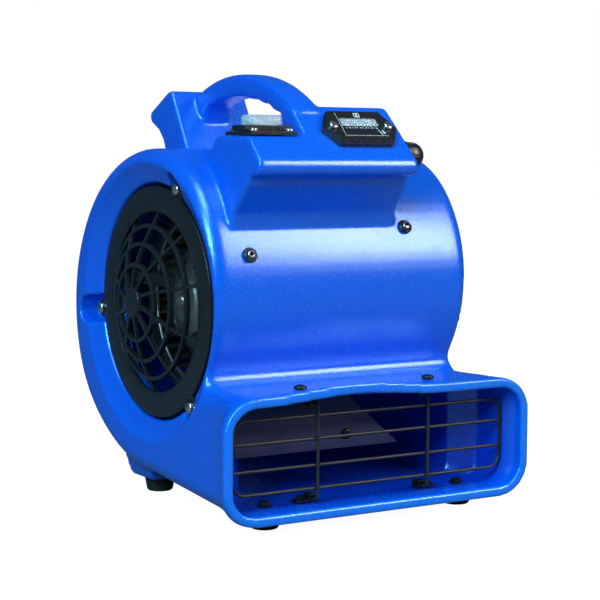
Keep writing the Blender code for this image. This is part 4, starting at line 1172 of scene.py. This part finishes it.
def make_meter():
    """The hour meter: stepped bezel, raised panel, window over a counter strip, and printed marks."""
    body = meter_prism("meter_body", hexagon(17.0, 12.0, 18.0), -11.0, 1.0)
    flange = meter_prism("flange", hexagon(20.3, 14.3, 28.8), GAP, METER_PROUD - 1.7)
    raised = meter_prism("raised", hexagon(19.8, 13.5, 27.6), 2.0, METER_PROUD - 0.3)
    panel = plate_between("panel", -16.4, -12.6, 18.8, 9.6, 2.0, METER_PROUD)
    window_low, window_high = METER_PROUD - 1.4, METER_PROUD + 3
    cutters = [plate_between("seat", -14.4, -6.9, 14.4, 0.4, window_low, window_high)]
    window = plate_between("meter_glass", -14.0, -6.5, 14.0, 0.0, METER_PROUD - 0.95, METER_PROUD + 0.1)
    edges_eased(window, 0.15, 2)
    stands_for(window, "hour_meter_window")
    for label, side in SIDES:
        u = side * METER_SCREW_U
        cutters.append(rod("meter_bore", 1.9, meter_point(u, 0, -2), meter_point(u, 0, 8)))
        place = meter_point(u, 0, METER_PROUD - 0.3 + GAP)
        sizes = (3.3, 2.0, 1.5, METER_PROUD - 0.1)
        screw(f"bezel_screw_{label}", f"meter_screw_{label}", place, SLOPE_OUT, *sizes)
    fused(body, joins=[flange, raised, panel], cuts=cutters)
    edges_eased(body, 0.3, 2, 30)
    stands_for(body, "hour_meter_body")
    make_meter_marks()


def make_meter_marks():
    """The counter strip behind the glass, and the marks printed on the panel."""
    back = METER_PROUD - 1.35
    strip_parts = []
    for v in (-5.8, -3.9):
        strip_parts.append(plate_between("strip", -13.2, v, 13.2, v + 0.5, back, METER_PROUD - 1.08))
    for k in range(10):
        u = -11.5 + 2.5 * k
        strip_parts.append(plate_between("tick", u, -2.4, u + 1.3, -1.3, back, METER_PROUD - 1.12))
    added(joined("counter_strip", strip_parts), "base", INK)
    low, high = METER_PROUD - 0.02, METER_PROUD + 0.06
    rows = ((-1.4, -11.6, 3.2, -11.1), (-1.4, -8.3, 3.2, -7.8))
    uprights = ((-1.4, -11.6, -0.9, -7.8), (2.7, -11.6, 3.2, -7.8))
    marks = [plate_between("icon", *bar, low, high) for bar in rows + uprights]
    glass = [(-0.4, -11.0), (2.2, -11.0), (1.05, -9.7), (2.2, -8.4), (-0.4, -8.4), (0.75, -9.7)]
    marks.append(meter_prism("icon_glass", glass, low, high))
    for k in range(12):
        u = -12.0 + 2.1 * k
        marks.append(plate_between("dash", u, 1.6, u + (1.2 if k % 2 else 0.6), 2.3, low, high))
    marks.append(plate_between("rule_left", -15.4, -11.6, -15.15, 8.9, low, high))
    marks.append(plate_between("rule_foot", -15.4, 8.65, 17.9, 8.9, low, high))
    marks.append(meter_prism("stroke", [(11.6, 3.6), (12.3, 3.6), (14.2, 8.0), (13.5, 8.0)], low, high))
    marks.append(meter_prism("wedge", [(14.4, 3.9), (15.1, 3.9), (17.0, 6.6), (15.4, 6.9)], low, high))
    added(joined("meter_marks", marks), "base", INK)


# ---- cord gland
def make_gland():
    """The cord gland: flanged body and a ribbed dome nut."""
    centre = (BOX_RIGHT - BOX_DRAFT * (GLAND_Z - 10 - BOX_DRAFT_Z) + GAP, GLAND_Y, GLAND_Z)
    axis = (1, 0, 0)
    body = ((3.6, -9.8), (6.0, -9.8), (6.0, 0), (9.6, 0), (9.6, 3.6), (5.8, 3.6), (5.8, 11.0), (3.6, 11.0))
    stands_for(turned("gland", rounded_profile(body, 0.4), centre, axis, 48), "cord_gland_body")
    nut = [(6.2, 4.0), (9.0, 4.0), (9.0, 8.5), (8.6, 11.0), (7.6, 13.2), (5.8, 15.2)]
    nut += [(4.2, 15.2), (4.2, 11.6), (6.2, 11.6)]
    made = turned("gland_nut", rounded_profile(nut, 0.5), centre, axis, 72)
    grooves = []
    for k in range(12):
        y, z = polar(30.0 * k, 9.7)
        y, z = centre[1] + y, centre[2] + z - AXIS_Z
        grooves.append(rod("groove", 1.0, (centre[0] + 3.0, y, z), (centre[0] + 12.0, y, z), 12))
    fused(made, cuts=grooves)
    stands_for(made, "cord_gland_nut")


# ---- CAD nodes that stay
def dress_cad_nodes():
    """The CAD nodes whose shape is right get their finish and eased edges."""
    for name, node in frame["nodes"].items():
        if node.hide_render:
            continue
        if not node.material_slots:
            node.data.materials.append(FINISH[SLOT_OF[name]])
        for place in node.material_slots:
            place.material = FINISH[SLOT_OF[name]]
        shaded(node.data, 35)
        edges_eased(node, 0.3, 2)


# ---- studio
CAMERA_TURN = (-32.251, 4.947, 0.287)  # round the object, upwards, and roll, in degrees
CAMERA_PLACE = (-0.61106, -0.99173, 0.23369)
CAMERA_LENS = 100.65
FAN_MIDDLE = (0.0, 0.0, 0.14)
FLOOR_GLOW = 0.97
SUN_TILT = (18.6, -20.5, 0.0)


def set_axes(obj, right, up, back, place):
    obj.matrix_world = Matrix((*zip(right, up, back, place), (0.0, 0.0, 0.0, 1.0)))


def make_camera():
    turn, rise, roll = (math.radians(a) for a in CAMERA_TURN)
    back = (math.sin(turn) * math.cos(rise), -math.cos(turn) * math.cos(rise), math.sin(rise))
    right = (math.cos(turn), math.sin(turn), 0.0)
    up = cross(back, right)
    c, s = math.cos(roll), math.sin(roll)
    across = tuple(r * c + u * s for r, u in zip(right, up))
    upward = tuple(u * c - r * s for r, u in zip(right, up))
    data = bpy.data.cameras.new("camera")
    data.lens = CAMERA_LENS
    data.sensor_width = 36.0
    camera = linked("camera", data)
    set_axes(camera, across, upward, back, CAMERA_PLACE)
    bpy.context.scene.camera = camera


def softbox(name, towards, distance, size, energy, colour):
    """A soft area light in the given direction from the fan's middle, facing it."""
    direction = normalised(towards)
    data = bpy.data.lights.new(name, "AREA")
    data.shape = "RECTANGLE"
    data.size, data.size_y = size
    data.energy = energy
    data.color = colour
    side = normalised(cross((0.0, 0.0, 1.0), direction))
    place = moved(FAN_MIDDLE, (direction, distance))
    set_axes(linked(name, data), side, cross(direction, side), direction, place)


def make_floor():
    """A plain pale floor, lit evenly enough to stay pale out to the horizon."""
    bpy.ops.mesh.primitive_plane_add(size=12.0)
    floor = bpy.context.object
    floor.name = "floor"
    pale = surface("floor", (0.2, 0.2, 0.2), 0.9, more={"Specular IOR Level": 0.1})
    tree = pale.node_tree
    seen = new_node(tree, "LightPath", {}).outputs["Is Camera Ray"]
    glow = new_node(tree, "Emission", {"Color": WHITE, "Strength": product(tree, seen, FLOOR_GLOW)})
    lit = tree.nodes["Principled BSDF"].outputs["BSDF"]
    both = new_node(tree, "AddShader", {0: lit, 1: glow.outputs["Emission"]})
    feed(tree, tree.nodes["Material Output"], {"Surface": both.outputs["Shader"]})
    wear(floor, pale)


def make_world():
    """Faint blue light from all round, which the camera sees as white."""
    world = bpy.data.worlds.new("studio")
    world.use_nodes = True
    bpy.context.scene.world = world
    tree = world.node_tree
    tree.nodes.clear()
    lit = new_node(tree, "Background", {"Color": (0.3, 0.62, 1.0, 1.0), "Strength": 0.15})
    white = new_node(tree, "Background", {"Color": WHITE})
    seen = new_node(tree, "LightPath", {}).outputs["Is Camera Ray"]
    mix = new_node(tree, "MixShader", {0: seen, 1: lit.outputs["Background"], 2: white.outputs["Background"]})
    new_node(tree, "OutputWorld", {"Surface": mix.outputs["Shader"]})


def make_studio():
    """A plain pale floor, white surroundings, a wide overhead light and two soft boxes."""
    make_world()
    make_floor()
    sun = bpy.data.lights.new("overhead", "SUN")
    sun.energy = 1.75
    sun.color = (0.4, 0.74, 1.0)
    sun.angle = math.radians(25)
    linked("overhead", sun).rotation_euler = [math.radians(a) for a in SUN_TILT]
    softbox("key", (0.57, -0.73, 0.5), 1.3, (0.38, 0.64), 10.8, (1.0, 0.85, 0.82))
    softbox("side", (-0.72, -0.52, 0.46), 1.5, (0.45, 0.45), 20.0, (0.3, 0.76, 1.0))
    view = bpy.context.scene.view_settings
    view.view_transform = "Standard"
    view.look = "None"
    view.exposure = 0.0


def main():
    make_camera()
    make_shell()
    for label, side in SIDES:
        make_grille(side, label)
        make_grille_screws(side, label)
    make_wheel()
    make_motor()
    make_drum_screws()
    make_guard()
    make_guard_screws()
    make_deflector()
    make_feet()
    make_switch()
    make_meter()
    make_gland()
    dress_cad_nodes()
    make_studio()


main()
